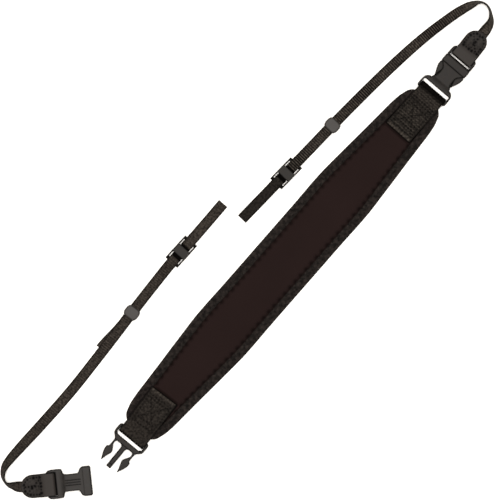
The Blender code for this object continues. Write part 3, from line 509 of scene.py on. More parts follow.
def spark_finished_acetal(settings, name="spark_finished_acetal", gloss=0.17):
    """Acetal from a spark-eroded mould: dark grey, satin, 0.35 mm grain, with painted shade and a rougher
    surface at edges and in recesses.
    """
    material, tree = start_material(name, settings.plastic, 0.6, 1.48, gloss)
    place = add(tree, "TexCoord", out="Object")
    grain = add(tree, "TexNoise", spots(place, 0.35 * MM, 3.0))
    scuffs = add(tree, "TexNoise", spots(place, 4 * MM, 4.0))
    soft = add(tree, "Bevel", {"Radius": settings.worn}, samples=8)
    flat = add(tree, "NewGeometry", out="Normal")
    level = add(tree, "VectorMath", (soft, flat), "Value", operation="DOT_PRODUCT")
    # painted shade along the edges, where the rounded normal turns away from the true one
    corner = add(tree, "MapRange", {"Value": level, "From Min": 0.995, "From Max": 0.93})
    # painted shade in recesses, where little of the sky is open
    open_sky = add(tree, "AmbientOcclusion", {"Distance": 3 * MM}, "AO", samples=8)
    painted_recess_shade = add(tree, "MapRange", {"Value": open_sky, "From Min": 0.92, "From Max": 0.55})
    # dull: the painted shade at edges and in recesses, which darkens the colour and roughens the surface
    dull = add(tree, "Math", (corner, painted_recess_shade), operation="MAXIMUM")
    base = mottled(tree, place, 4 * MM, settings.plastic, 0.35)
    base = layered(tree, base, (dull, 0.95, shade(settings.plastic, 0.1)))
    rough = add(tree, "Math", (scuffs, 0.2, 0.5), operation="MULTIPLY_ADD")
    rough = add(tree, "Math", (rough, dull), operation="MAXIMUM")
    return finish(material, grain, 0.04 * MM, 0.7, base, rough, Normal=soft)


def handled_acetal(settings):
    """The same acetal on the loose socket, rubbed to a slightly higher gloss by handling."""
    return spark_finished_acetal(settings, "handled_acetal", 0.26)


def soft_keeper_plastic(settings):
    """Softer moulded plastic of the keepers: lighter grey, low gloss on a smooth dome."""
    material, tree = start_material("soft_keeper_plastic", settings.keeper, 0.5, 1.5, 0.2)
    place = add(tree, "TexCoord", out="Object")
    cloud = add(tree, "TexNoise", spots(place, 4 * MM, 4.0))
    grain = add(tree, "TexNoise", spots(place, 0.4 * MM))
    base = layered(tree, shade(settings.keeper, 0.85), (cloud, 1, shade(settings.keeper, 1.12)))
    return finish(material, grain, 0.03 * MM, 0.6, base)


# -------------------- meshes


def add_piece(name, mesh, material=None):
    """An object at the origin for a mesh, in its material."""
    if material:
        mesh.materials.clear()
        mesh.materials.append(material)
    piece = bpy.data.objects.new(name, mesh)
    bpy.context.scene.collection.objects.link(piece)
    return piece


def dress(piece, node):
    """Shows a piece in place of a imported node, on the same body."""
    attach(piece, ROOT)
    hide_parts(node)


def cells(grid):
    """The corners of each cell of a grid, round in order."""
    return np.stack([grid[:-1, :-1], grid[:-1, 1:], grid[1:, 1:], grid[1:, :-1]], axis=2)


def grid_mesh(name, points, notes, uv=None, loop=False, tube=True):
    """A mesh from stations by places across, with notes that become attributes.

    In a tube the last place joins the first, and in a loop the last station does. A tube
    that is no loop gets its ends closed. The uv has one column more than the points.
    """
    stations, places = points.shape[:2]
    index = np.arange(stations * places).reshape(stations, places)
    if tube:
        index = np.hstack([index, index[:, :1]])
    if loop:
        index = np.vstack([index, index[:1]])
    faces = cells(index).reshape(-1, 4).tolist()
    if not loop:
        faces += [index[0, :-1][::-1].tolist(), index[-1, :-1].tolist()]
    mesh = bpy.data.meshes.new(name)
    mesh.from_pydata(points.reshape(-1, 3).tolist(), [], faces)
    for label, values in notes.items():
        values = np.broadcast_to(values, (stations, places)).ravel()
        mesh.attributes.new(label, "FLOAT", "POINT").data.foreach_set("value", values.astype(np.float32))
    if uv is not None:
        corners = cells(uv).reshape(-1, 2)
        flat = np.zeros((len(mesh.loops), 2), dtype=np.float32)
        flat[: len(corners)] = corners
        mesh.uv_layers.new(name="weave").data.foreach_set("uv", flat.ravel())
    if loop:
        solid = bmesh.new()
        solid.from_mesh(mesh)
        bmesh.ops.remove_doubles(solid, verts=solid.verts, dist=0.001 * MM)
        bmesh.ops.recalc_face_normals(solid, faces=solid.faces)
        solid.to_mesh(mesh)
        solid.free()
    mesh.shade_smooth()
    return mesh


def bake_modifiers(piece):
    """Keeps what an object's modifiers make as its own plain mesh."""
    bpy.context.view_layer.update()
    depsgraph = bpy.context.evaluated_depsgraph_get()
    mesh = bpy.data.meshes.new_from_object(
        piece.evaluated_get(depsgraph), preserve_all_data_layers=True, depsgraph=depsgraph
    )
    piece.modifiers.clear()
    piece.data = mesh


# -------------------- geometry nodes


def start_tree(name, *sizes):
    """A Geometry Nodes tree with a geometry, named sizes and a material going in."""
    tree = bpy.data.node_groups.new(name, "GeometryNodeTree")
    kinds = {"Geometry": "Geometry", **dict.fromkeys(sizes, "Float"), "Material": "Material"}
    for label, kind in kinds.items():
        tree.interface.new_socket(label, in_out="INPUT", socket_type="NodeSocket" + kind)
    tree.interface.new_socket("Geometry", in_out="OUTPUT", socket_type="NodeSocketGeometry")
    return tree, tree.nodes.new("NodeGroupInput").outputs


def end_tree(tree, geometry, given):
    """Every tree ends in realised instances and a material."""
    real = add(tree, "GeometryNodeRealizeInstances", (geometry,))
    smooth = add(tree, "GeometryNodeSetShadeSmooth", (real,))
    painted = add(tree, "GeometryNodeSetMaterial", {"Geometry": smooth, "Material": given["Material"]})
    add(tree, "NodeGroupOutput", (painted,))
    return tree


def run_tree(piece, maker, **inputs):
    """Runs a tree, made once, on a piece with its named inputs, and keeps the result as a plain mesh."""
    tree = bpy.data.node_groups.get(maker.__name__) or maker()
    modifier = piece.modifiers.new(tree.name, "NODES")
    modifier.node_group = tree
    for socket in tree.interface.items_tree:
        key = socket.name.lower().replace(" ", "_")
        if key in inputs:
            modifier[socket.identifier] = inputs[key]
    bake_modifiers(piece)


def woven_ribs():
    """Cross ribs on a band: each point sinks along its normal between two crests."""
    tree, given = start_tree(
        "woven_ribs", "Rib Pitch", "Rib Height", "Yarn Pitch", "Stagger", "Warp Pitch", "Warp Share"
    )
    along, across, bold, flat = (
        add(tree, "GeometryNodeInputNamedAttribute", {"Name": label}, data_type="FLOAT")
        for label in ("along", "across", "bold", "flat")
    )

    def furrow(turns, start, end):
        """How far a place lies from the crest between two furrows, from 0 to 1."""
        turn = add(tree, "Math", (turns,), operation="FRACT")
        phase = add(tree, "Math", (turn, 2.0, -1.0), operation="MULTIPLY_ADD")
        away = add(tree, "Math", (phase,), operation="ABSOLUTE")
        rise = {"Value": away, "From Min": start, "From Max": end}
        return add(tree, "MapRange", rise, interpolation_type="SMOOTHSTEP")

    yarn = add(tree, "Math", (across, given["Yarn Pitch"]), operation="DIVIDE")
    yarn = add(tree, "Math", (yarn,), operation="FLOOR")
    odd = add(tree, "Math", (yarn, 2.0), operation="MODULO")
    odd = add(tree, "Math", (odd,), operation="ABSOLUTE")
    loose = add(tree, "Math", (1.0, bold), operation="SUBTRACT")
    slip = add(tree, "Math", (odd, given["Stagger"]), operation="MULTIPLY")
    slip = add(tree, "Math", (slip, loose), operation="MULTIPLY")
    turns = add(tree, "Math", (along, given["Rib Pitch"]), operation="DIVIDE")
    turns = add(tree, "Math", (turns, slip), operation="ADD")
    ribs = add(tree, "Math", (furrow(turns, *RIB_FURROW), bold), operation="MULTIPLY")
    lines = add(tree, "Math", (across, given["Warp Pitch"]), operation="DIVIDE")
    lines = add(tree, "Math", (furrow(lines, *WARP_FURROW), given["Warp Share"]), operation="MULTIPLY")
    groove = add(tree, "Math", (ribs, lines), operation="MAXIMUM")
    groove = add(tree, "Math", (groove, flat), operation="MULTIPLY")
    sink = add(tree, "Math", (groove, given["Rib Height"]), operation="MULTIPLY")
    sink = add(tree, "Math", (sink, -1.0), operation="MULTIPLY")
    normal = add(tree, "GeometryNodeInputNormal", out="Normal")
    offset = add(tree, "VectorMath", {0: normal, "Scale": sink}, operation="SCALE")
    moved = add(tree, "GeometryNodeSetPosition", {"Geometry": given["Geometry"], "Offset": offset})
    # the furrow's depth is kept for the painted shade in the grooves
    note = {"Geometry": moved, "Name": "groove", "Value": groove}
    noted = add(tree, "GeometryNodeStoreNamedAttribute", note, data_type="FLOAT", domain="POINT")
    return end_tree(tree, noted, given)


def sewn_stitches():
    """A stitch at each point, along its run and flat on its face, tapering into the needle holes."""
    tree, given = start_tree("sewn_stitches", "Thread Radius")
    run, face = (
        add(tree, "GeometryNodeInputNamedAttribute", {"Name": label}, data_type="FLOAT_VECTOR")
        for label in ("run", "face")
    )
    thread = given["Thread Radius"]
    stitch = add(tree, "GeometryNodeMeshUVSphere", {"Segments": 8, "Rings": 7, "Radius": 1.0})
    level = add(tree, "FunctionNodeAlignRotationToVector", {"Vector": run}, axis="X")
    facing = {"Rotation": level, "Vector": face}
    turned = add(tree, "FunctionNodeAlignRotationToVector", facing, axis="Z", pivot_axis="X")
    half = add(tree, "VectorMath", (run,), "Value", operation="LENGTH")
    size = add(tree, "CombineXYZ", (half, thread, thread))
    where = {"Points": given["Geometry"], "Instance": stitch, "Rotation": turned, "Scale": size}
    return end_tree(tree, add(tree, "GeometryNodeInstanceOnPoints", where), given)


def sew(name, starts, ends, faces, radius, thread, slot):
    """Stitches from start to end, each with the direction its surface faces."""
    mesh = bpy.data.meshes.new(name)
    mesh.from_pydata(((starts + ends) / 2).tolist(), [], [])
    for label, values in (("run", (ends - starts) / 2), ("face", faces)):
        layer = mesh.attributes.new(label, "FLOAT_VECTOR", "POINT")
        layer.data.foreach_set("vector", values.ravel().astype(np.float32))
    piece = add_piece(name, mesh)
    run_tree(piece, sewn_stitches, thread_radius=radius, material=thread)
    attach(piece, ROOT)


# -------------------- routes and bands


def eased(x, rows):
    """A value read from rows of place and value, with level ends to each slope."""
    places, values = np.array(rows, dtype=float).T
    k = np.clip(np.searchsorted(places, x) - 1, 0, len(places) - 2)
    share = np.clip((x - places[k]) / (places[k + 1] - places[k]), 0, 1)
    share = share * share * (3 - 2 * share)
    return values[k] + (values[k + 1] - values[k]) * share


def smoothed(values, width):
    """A moving average along the first axis, with the ends held."""
    kernel = np.hanning(2 * width + 3)[1:-1]
    held = np.pad(values, [(width, width)] + [(0, 0)] * (values.ndim - 1), mode="edge")
    return np.apply_along_axis(np.convolve, 0, held, kernel / kernel.sum(), "valid")


def unit(rows):
    """Directions of length 1."""
    return rows / np.linalg.norm(rows, axis=1)[:, None]


def left_of(ahead):
    """The level directions to the left of others."""
    return np.column_stack([-ahead[:, 1], ahead[:, 0], np.zeros(len(ahead))])


def distances(points):
    """How far along a line each of its points lies."""
    return np.append(0.0, np.cumsum(np.linalg.norm(np.diff(points, axis=0), axis=1)))


def read_along(at, marks, rows):
    """Rows read between a line's marks, at distances along it."""
    return np.column_stack([np.interp(at, marks, column) for column in rows.T])


class Route:
    """A smooth level line through a table of points, read by the distance along it."""

    def __init__(self, rows):
        self.rows = np.array(rows, dtype=float)
        self.marks = distances(self.rows[:, :2])
        self.slopes = np.gradient(self.rows[:, :2], self.marks, axis=0)
        self.length = self.marks[-1]

    def value(self, distance, column):
        """What a column of the table says at distances."""
        return np.interp(distance, self.marks, self.rows[:, column])

    def at(self, distance):
        """Places at distances, and the directions there."""
        distance = np.atleast_1d(distance)
        inside = np.clip(distance, 0.0, self.length)
        k = np.clip(np.searchsorted(self.marks, inside) - 1, 0, len(self.marks) - 2)
        reach = (self.marks[k + 1] - self.marks[k])[:, None]
        t = (inside - self.marks[k])[:, None] / reach
        before, after = self.rows[k, :2], self.rows[k + 1, :2]
        leave, arrive = self.slopes[k] * reach, self.slopes[k + 1] * reach
        place = (2 * t**3 - 3 * t**2 + 1) * before + (t**3 - 2 * t**2 + t) * leave
        place = place + (3 * t**2 - 2 * t**3) * after + (t**3 - t**2) * arrive
        run = (6 * t**2 - 6 * t) * (before - after) + (3 * t**2 - 4 * t + 1) * leave
        ahead = unit(run + (3 * t**2 - 2 * t) * arrive)
        return place + ahead * (distance - inside)[:, None], ahead


class Band:
    """A flat band along stations: its middle, which way is across, and which way it faces."""

    def __init__(self, middles, across):
        self.middles, self.across = middles, across
        self.faces = unit(np.cross(unit(np.gradient(middles, axis=0)), across))
        self.along = distances(middles)

    def solid(self, half_width, half, columns, square=1.0, **notes):
        """Rings with rounded edges, with their uv and notes; square below 1 makes the edges squarer."""
        angles = np.radians([22, 45, 68, 90, 112, 135, 158])
        bend = np.sign(np.cos(angles)) * np.abs(np.cos(angles)) ** square
        out = np.abs(np.sin(angles)) ** square
        side = [(u, 0, 1, 1) for u in np.linspace(1, -1, columns)]
        side += [(-1, -o, b, 0) for o, b in zip(out, bend)]
        across, bulge, rise, level = np.vstack([side, np.array(side) * (-1, -1, -1, 1)]).T
        half_width = np.broadcast_to(half_width, len(self.along))[:, None]
        sideways = across * (half_width - half * 0.999) + bulge * half
        points = self.middles[:, None] + self.across[:, None] * sideways[:, :, None]
        points = points + self.faces[:, None] * (rise * half)[:, None]
        along = self.along[:, None]
        uv = np.dstack([np.broadcast_to(along, sideways.shape), sideways])
        selvedge = eased(half_width - np.abs(sideways), ((0.3 * MM, 1), (SELVEDGE, 0)))
        notes = {label: value[:, None] for label, value in notes.items()}
        notes.update(along=along, across=sideways + 0.5, flat=level, cut=1 - level, selvedge=selvedge)
        return points, np.hstack([uv, uv[:, :1]]), notes

    def upper(self, count, flat, lift, drop=None):
        """Places on the upper face of the first stations, by distance and sideways, and where they face."""
        distance, sideways = flat.T
        lines = (self.middles, self.across, self.faces)
        middle, across, face = (read_along(distance, self.along[:count], line[:count]) for line in lines)
        places = middle + across * sideways[:, None] + face * lift
        if drop:
            places[:, 2] -= drop(distance, sideways) * SEAM_DROP
        return places, face

    def seams(self, count, paths, pitch, share, lift, drop=None):
        """Stitches along paths on the upper face: their starts, their ends and where it faces."""
        starts, ends = [], []
        for path in paths:
            path = np.array(path)
            marks = distances(path)
            edges = np.linspace(0, marks[-1], max(1, round(marks[-1] / pitch)) + 1)
            gap = (1 - share) / 2 * edges[1]
            starts.append(read_along(edges[:-1] + gap, marks, path))
            ends.append(read_along(edges[1:] - gap, marks, path))
        starts, faces = self.upper(count, np.vstack(starts), lift, drop)
        return starts, self.upper(count, np.vstack(ends), lift, drop)[0], faces


def folded_line(
    end, origin, turn, bar_front, bar_length, free, ramp, layers, radius, reach, droop=0.0, square=1.0
):
    """The middle line of a band that is sewn at one end and folded round a buckle's bar.

    It runs along the top layer from the sewn end to the fold, and back underneath; the
    droop is how much further the fold's lower half bulges, and square below 1 makes it squarer.
    """
    along = Vector((cos(turn), sin(turn)))
    fold = origin.to_2d() - along * (bar_front * MM + FOLD_PLAY)
    straight, sewn = fold - along * free, Vector(end) * MM
    route = Route([sewn, sewn.lerp(straight, 0.5), straight, fold])
    off_bar = route.length - bar_length * MM + FOLD_PLAY - CLEAR
    run = np.arange(0, route.length, BAND_STEP)
    bottom, top = (
        eased(run, ((off_bar - ramp, sewn_level), (off_bar, BUCKLE_LEVEL + side * radius)))
        for sewn_level, side in zip(layers, (-1, 1))
    )
    angles = np.linspace(0, pi, max(9, int(pi * radius / BAND_STEP)))
    bulge = (reach + droop * np.maximum(-np.cos(angles), 0)) * np.maximum(np.sin(angles), 0) ** square
    rise = radius * np.sign(np.cos(angles)) * np.abs(np.cos(angles)) ** square
    distance = np.concatenate([run, route.length + bulge, run[::-1]])
    height = np.concatenate([top, BUCKLE_LEVEL + rise, bottom[::-1]])
    place, ahead = route.at(distance)
    return route, distance, np.column_stack([place, height]), left_of(ahead), len(run)


def pinch_near(points, holes, radius):
    """How near each point lies to a needle hole, from 0 to 1, for one radius or one for each hole."""
    flat = points.reshape(-1, 3)
    near = np.zeros(len(flat))
    for low in range(0, len(flat), AT_ONCE):
        part = flat[low : low + AT_ONCE, None, :] - holes[None, :, :]
        near[low : low + AT_ONCE] = np.exp(-((part**2).sum(axis=2) / (2 * radius**2)).min(axis=1))
    return near.reshape(points.shape[:2])


def sew_through(name, seams, below, level, radius, thread, slot):
    """Stitches on top, and again at a level underneath where they come through."""
    starts, ends, faces = seams
    low_starts, low_ends = (rows[below] * (1, 1, 0) + (0, 0, level) for rows in (starts, ends))
    both = (starts, low_starts), (ends, low_ends), (faces, -faces[below])
    sew(name, *map(np.vstack, both), radius, thread, slot)


# -------------------- the pad


class PadEdge:
    """The pad's outline as even stations, with the way in from each and the distance along."""

    def __init__(self, settings):
        self.holes = settings.outer_hole, settings.inner_hole
        line = Route(np.array(PAD_OUTLINE_MM) * MM)
        end = settings.length / 2
        angles = np.radians(PAD_CORNER_ANGLES)
        centre = (end - PAD_END_RADIUS, PAD_OUTLINE_MM[-1][1] * MM - PAD_END_RADIUS)
        corner = np.column_stack([np.cos(angles), np.sin(angles)]) * PAD_END_RADIUS + centre
        side = np.vstack([line.at(np.linspace(0, line.length, SIDE_POINTS))[0], corner, (end, 0.0)])
        marks = distances(side)
        count = round(marks[-1] / settings.station)
        quarter = read_along((np.arange(count) + 0.5) * marks[-1] / count, marks, side)
        half = np.vstack([quarter, quarter[::-1] * (1, -1)])
        self.points = np.vstack([half, half[::-1] * (-1, 1)])
        self.step = marks[-1] / count
        perimeter = self.step * len(self.points)
        self.along = np.arange(len(self.points)) * self.step
        ring = np.vstack([self.points[-EDGE_BLEND:], self.points, self.points[:EDGE_BLEND]])
        tangent = smoothed(np.gradient(ring, axis=0), EDGE_BLEND // 2)[EDGE_BLEND:-EDGE_BLEND]
        self.inward = unit(tangent)[:, ::-1] * (1, -1)
        self.stitches = round(perimeter / settings.period)
        self.period = perimeter / self.stitches

    def place(self, depth):
        """Points at a distance in from the edge, for each station."""
        return self.points + self.inward * depth

    def hole_places(self, inner):
        """The needle holes of the outer or the inner row."""
        k = (np.arange(self.stitches) + 0.5 * inner) * self.period / self.step
        low = np.floor(k).astype(int)
        share = (k - low)[:, None]
        line = self.place(self.holes[inner])
        return line[low] * (1 - share) + line[(low + 1) % len(line)] * share

    def pits(self, depth, inner):
        """Dents round the outer or the inner row of needle holes, from 0 to 1."""
        nearest = np.mod(self.along / self.period - 0.5 * inner + 0.5, 1.0) - 0.5
        width = HOLE_PITS[inner]
        return np.exp(-(((nearest * self.period) ** 2 + (depth - self.holes[inner]) ** 2)) / (2 * width**2))

    def off_thread(self, depth):
        """How far from the zigzag thread each station lies."""
        outer, inner = self.holes
        swing = 1 - np.abs(2 * np.mod(self.along / self.period, 1.0) - 1)
        return np.abs(depth - (outer + (inner - outer) * swing)) / hypot(1, 2 * (inner - outer) / self.period)


def under_tab(points):
    """How far a place on the pad is pressed flat by a webbing tab, and how much painted shadow it gets beside
    the tab's edge, from 0 to 1.
    """
    pressed, rim = np.zeros(points.shape[:-1]), np.zeros(points.shape[:-1])
    for _, end, origin, turn, bar_front, _ in WIDE_TABS:
        start = np.array(end) * MM
        ahead = np.array(origin.to_2d()) - np.array((cos(turn), sin(turn))) * bar_front * MM - start
        ahead /= np.linalg.norm(ahead)
        forward = (points - start) @ ahead
        sideways = np.abs((points - start) @ (-ahead[1], ahead[0]))
        pressed = np.maximum(pressed, eased(forward, PRESSED_BEFORE) * eased(sideways, PRESSED_BESIDE))
        # rim: painted shadow on the pad round the tab's end and sides
        outside = np.maximum(-forward, sideways - TAB_HALF)
        rim = np.maximum(rim, eased(outside, TAB_SHADE))
    return pressed, rim


def foam_heights(flat, depth, edge, settings):
    """Top and underside of the foam panel at places on it, and the painted shadow beside a tab's edge there.
    """
    at, top, under = np.array(FOAM_EDGE_MM).T * MM
    pit = edge.pits(depth, True) * settings.pit
    top, under = np.interp(depth, at, top) - pit, np.interp(depth, at, under) + pit * 0.5
    x, y = (flat / SWAY_LENGTHS).T
    top = top + FOAM_SWAY * np.sin(x) * np.cos(y) * np.clip((depth - SWAY_START) / SWAY_RISE, 0, 1)
    pressed, rim = under_tab(flat)
    top = top * (1 - pressed) + np.minimum(top, PRESSED_FOAM[0]) * pressed
    under = under * (1 - pressed) + np.maximum(under, PRESSED_FOAM[1]) * pressed
    return top, under, rim


class STRAP_OT_neck_pad(bpy.types.Operator):
    """Neoprene panel: crowned, tucked under the binding and drawn in at the needle holes"""

    bl_idname = "strap.neck_pad"
    bl_label = "Neck Pad"

    def execute(self, context):
        settings = context.scene.strap_pad
        edge = PadEdge(settings)
        middle = PAD_OUTLINE_MM[0][1] * MM
        spine_end = settings.length / 2 - middle
        rim = edge.place(FOAM_BORDER)
        spine = np.column_stack([np.clip(rim[:, 0], -spine_end, spine_end), np.zeros(len(rim))])
        upper, lower = [], []
        for depth in np.array(FOAM_RINGS_MM) * MM:
            share = (depth - FOAM_BORDER) / (middle - FOAM_BORDER)
            flat = edge.place(depth) if share <= 0 else rim * (1 - share) + spine * share
            top, under, painted_tab_shadow = foam_heights(flat, depth, edge, settings)
            if depth < TUCKED_IN:
                top, under = (np.full(len(flat), level) for level in TUCKED_LEVELS)
            # painted shade at the inner needle holes, and painted shadow beside a tab on the upper face
            pinch = 0.5 * edge.pits(depth, True)
            upper.append(np.column_stack([flat, top, np.maximum(pinch, painted_tab_shadow)]))
            lower.append(np.column_stack([flat, under, pinch]))
        rings = np.stack(lower[::-1] + upper, axis=1)
        mesh = grid_mesh("neck_pad_foam", rings[..., :3], {"pinch": rings[..., 3]}, loop=True, tube=False)
        panel = add_piece("neck_pad_foam", mesh, made(neoprene_jersey, settings))
        dress(panel, "neck_pad")
        return {"FINISHED"}


class STRAP_OT_edge_binding(bpy.types.Operator):
    """Binding folded over the pad's edge and quilted by a zigzag seam"""

    bl_idname = "strap.edge_binding"
    bl_label = "Edge Binding"

    def execute(self, context):
        settings = context.scene.strap_pad
        edge = PadEdge(settings)
        lobe = 0.5 + 0.5 * np.cos(2 * pi * (edge.along / edge.period + 0.5))
        rings = []
        for depth_mm, height_mm, share in BINDING_SECTION_MM:
            depth, upper = depth_mm * MM, share > 0
            flat = edge.place(depth)
            seam = np.exp(-((edge.off_thread(depth) / SEAM_DENT) ** 2))
            outer, inner = (edge.pits(depth, row) for row in (False, True))
            drawn = 0.55 * seam + np.maximum(outer, inner)
            puff = PUFF * (1 - lobe if depth > PUFF_MIDDLE else lobe) * upper
            height = height_mm * MM + share * (puff - settings.quilting * drawn)
            pressed, rim = under_tab(flat)
            height = height * (1 - pressed) + np.minimum(height, PRESSED_BINDING) * pressed
            # painted shade in the dent along the thread and at the needle holes, and painted shadow beside a
            # tab
            pinch = np.maximum.reduce([0.3 * seam, 0.5 * outer, 0.5 * inner, rim * upper]) * abs(share)
            rings.append(np.column_stack([flat, height, pinch]))
        rings = np.stack(rings, axis=1)
        mesh = grid_mesh("edge_binding_fabric", rings[..., :3], {"pinch": rings[..., 3]}, loop=True)
        binding = add_piece("edge_binding_fabric", mesh, made(stretch_binding, settings))
        dress(binding, "edge_binding")
        self.seam(edge, settings)
        return {"FINISHED"}

    def seam(self, edge, settings):
        """The zigzag thread, on top and underneath."""
        outer, inner = (edge.hole_places(row) for row in (False, True))
        starts, ends, faces = [], [], []
        for holes in (outer, np.roll(outer, -1, axis=0)):
            seen = under_tab((holes + inner) / 2)[0] < UNCOVERED
            for a, b in zip(holes[seen], inner[seen]):
                for out_level, in_level, face in SEAM_LEVELS:
                    starts.append((*(a + (b - a) * HOLE_SHARE), out_level))
                    ends.append((*(b + (a - b) * HOLE_SHARE), in_level))
                    faces.append((0, 0, face))
        rows = map(np.array, (starts, ends, faces))
        sew("binding_zigzag_seam", *rows, settings.thread, made(bonded_thread, settings), "binding_fabric")


# -------------------- webbing


def weave(node, grid, settings, rib_pitch, rib_height, yarn, warp):
    """A band of nylon with its ribs, in place of a packed one."""
    name = node + "_weave"
    band = add_piece(name, grid_mesh(name, *grid))
    run_tree(
        band,
        woven_ribs,
        rib_pitch=rib_pitch,
        rib_height=rib_height,
        yarn_pitch=yarn,
        stagger=RIB_STAGGER,
        warp_pitch=settings.warp_pitch,
        warp_share=warp,
        material=made(woven_nylon, settings),
    )
    dress(band, node)


class STRAP_OT_webbing_tabs(bpy.types.Operator):
    """Wide webbing sewn on each end of the pad and folded round the buckle's bar"""

    bl_idname = "strap.webbing_tabs"
    bl_label = "Webbing Tabs"

    def execute(self, context):
        settings = context.scene.strap_webbing
        thread = made(bonded_thread, context.scene.strap_pad)
        share, sunk, under, thread_radius = TAB_STITCHES
        half = settings.wide_thickness / 2
        for (node, end, *bar), (bold, warp, dullness, fold_shade, hole_shade, across) in zip(WIDE_TABS, TAB_WEAVES):
            route, distance, middles, left, count = folded_line(
                end, *bar, TAB_FREE_LENGTH, TAB_RAMP, TAB_LAYERS, BAR_HALF + CLEAR + half, TAB_REACH
            )
            middles[:count, 2] -= np.clip(1 - distance[:count] / TAB_CURL[0], 0, 1) ** 2 * TAB_CURL[1]
            distance, middles, left = (rows[:-TAB_SHORTER] for rows in (distance, middles, left))
            band = Band(middles, left)
            hem = eased(distance, TAB_HEM)
            dull = dullness * (0.6 + 0.4 * hem)
            points, uv, notes = band.solid(settings.wide / 2, half, TAB_COLUMNS, bold=bold * hem, dull=dull)
            seams = band.seams(count, self.seam_paths(across, settings), settings.stitch, share, half - sunk)
            # painted shade at the tab's end and where it turns down round the bar, and in its needle holes
            fold = [(place * MM, dark) for place, dark in zip(fold_shade, TAB_FOLD_SHADE)]
            dark = np.maximum(eased(distance, TAB_END_SHADE), eased(route.length - distance, fold))
            holes = pinch_near(points, np.vstack(seams[:2]), TAB_HOLE)
            notes["pinch"] = np.maximum(hole_shade * holes, dark[:, None])
            ribs = settings.wide_pitch, settings.rib * TAB_RIB_SHARE, TAB_YARN, warp
            weave(node, (points, notes, uv), settings, *ribs)
            on_pad = np.abs(seams[0][:, 0]) < abs(end[0]) * MM + TAB_ON_PAD
            sew_through(node + "_stitches", seams, on_pad, under, thread_radius, thread, "webbing")
        return {"FINISHED"}

    def seam_paths(self, across, settings):
        """Rows across, a row along each side and a cross between."""
        side = settings.wide / 2 - TAB_SEAM_INSET
        near, far = across[0] * MM, across[-1] * MM
        paths = [((row * MM, -side), (row * MM, side)) for row in across]
        ends = ((-side, -side), (side, side), (-side, side), (side, -side))
        return paths + [((near, start), (far, end)) for start, end in ends]


class STRAP_OT_connector_straps(bpy.types.Operator):
    """Narrow ribbed webbing, folded back on itself for the camera's lug"""

    bl_idname = "strap.connector_straps"
    bl_label = "Connector Straps"

    def execute(self, context):
        settings = context.scene.strap_webbing
        half = settings.narrow_thickness / 2
        for node, rows, slider, keeper, tail, shift, bold, dull, dull_end in CONNECTORS:
            route = Route([(x * MM, y * MM, roll, lift * MM) for x, y, roll, lift in rows])
            slider, keeper, tail = (route.length - place * MM for place in (slider, keeper, tail))
            middles, across, distance = self.path(route, slider, keeper, tail, shift * MM, settings)
            band = Band(middles, across)
            end_part = eased(route.length - distance, END_PART)
            waves = np.prod([np.sin(band.along / length) for length in WANDER_LENGTHS], axis=0)
            wander = 1 - WANDER + WANDER * waves
            on_edge = eased(np.abs(route.value(distance, 2)), TIGHT_ROLL)
            tight = np.maximum(on_edge, eased(distance, TIGHT_START))
            strength = bold * wander * (1 - 0.75 * dull_end * end_part) * (1 - 0.8 * tight)
            dullness = np.minimum(dull + (dull_end - dull) * end_part + 0.3 * tight, 1.0)
            width = settings.narrow / 2
            points, uv, notes = band.solid(width, half, STRAP_COLUMNS, bold=strength, dull=dullness)
            past = -np.sign(route.at(slider)[1][0, 0]) * (distance - slider) / MM
            # painted shade where the webbing dives under the slider's middle bar
            notes["pinch"] = np.interp(past, *np.array(SLIDER_SHADE_MM).T)[:, None]
            ribs = settings.narrow_pitch, settings.rib, STRAP_YARN, 0.0
            weave(node, (points, notes, uv), settings, *ribs)
        return {"FINISHED"}

    def path(self, route, slider, keeper, tail, shift, settings):
        """Middle line and across directions: out of the leather, round the fold and back underneath."""
        half = settings.narrow_thickness / 2
        layer = CLEAR + settings.narrow_thickness
        radius = layer / 2
        fold = route.length - radius - half
        lifts = (slider, BAR_LIFT, SLIDER_RISE_MM), (keeper, FLOOR_LIFT, KEEPER_RISE_MM)

        def height(distance):
            """How high the band's middle lies as it rests, rolls on edge and passes its fittings."""
            roll = np.radians(route.value(distance, 2))
            lift = route.value(distance, 3)
            for middle, rise, rows in lifts:
                offsets, shares = np.array(rows).T
                lift = lift + rise * np.interp(distance, middle + offsets * MM, shares)
            return REST + settings.narrow / 2 * np.abs(np.sin(roll)) + half * np.cos(roll) + lift

        out = np.arange(0, fold, STRAP_STEP)
        back = np.arange(fold, tail + 1.2 * MM, -STRAP_STEP)
        top = height(out) + layer * eased(out, ((tail - TAIL_STEP, 0), (tail, 1)))
        angles = np.linspace(0, pi, 9)[1:-1]
        bend = height(fold) + radius + radius * np.cos(angles)
        distance = np.concatenate([out, fold + radius * np.sin(angles), back])
        z = np.concatenate([smoothed(top, 5), bend, smoothed(height(back), 5)])
        place, ahead = route.at(distance)
        left = left_of(ahead)
        returned = np.arange(len(distance)) >= len(out)
        shift = np.where(returned, eased(distance, ((tail, shift), (tail + TAIL_FADE, 0))), 0)
        roll = np.where(returned, 0, np.radians(smoothed(route.value(distance, 2), 5)))[:, None]
        middles = np.column_stack([place, z]) + left * shift[:, None]
        return middles, left * np.cos(roll) + np.array((0, 0, 1)) * np.sin(roll), distance


# -------------------- leather


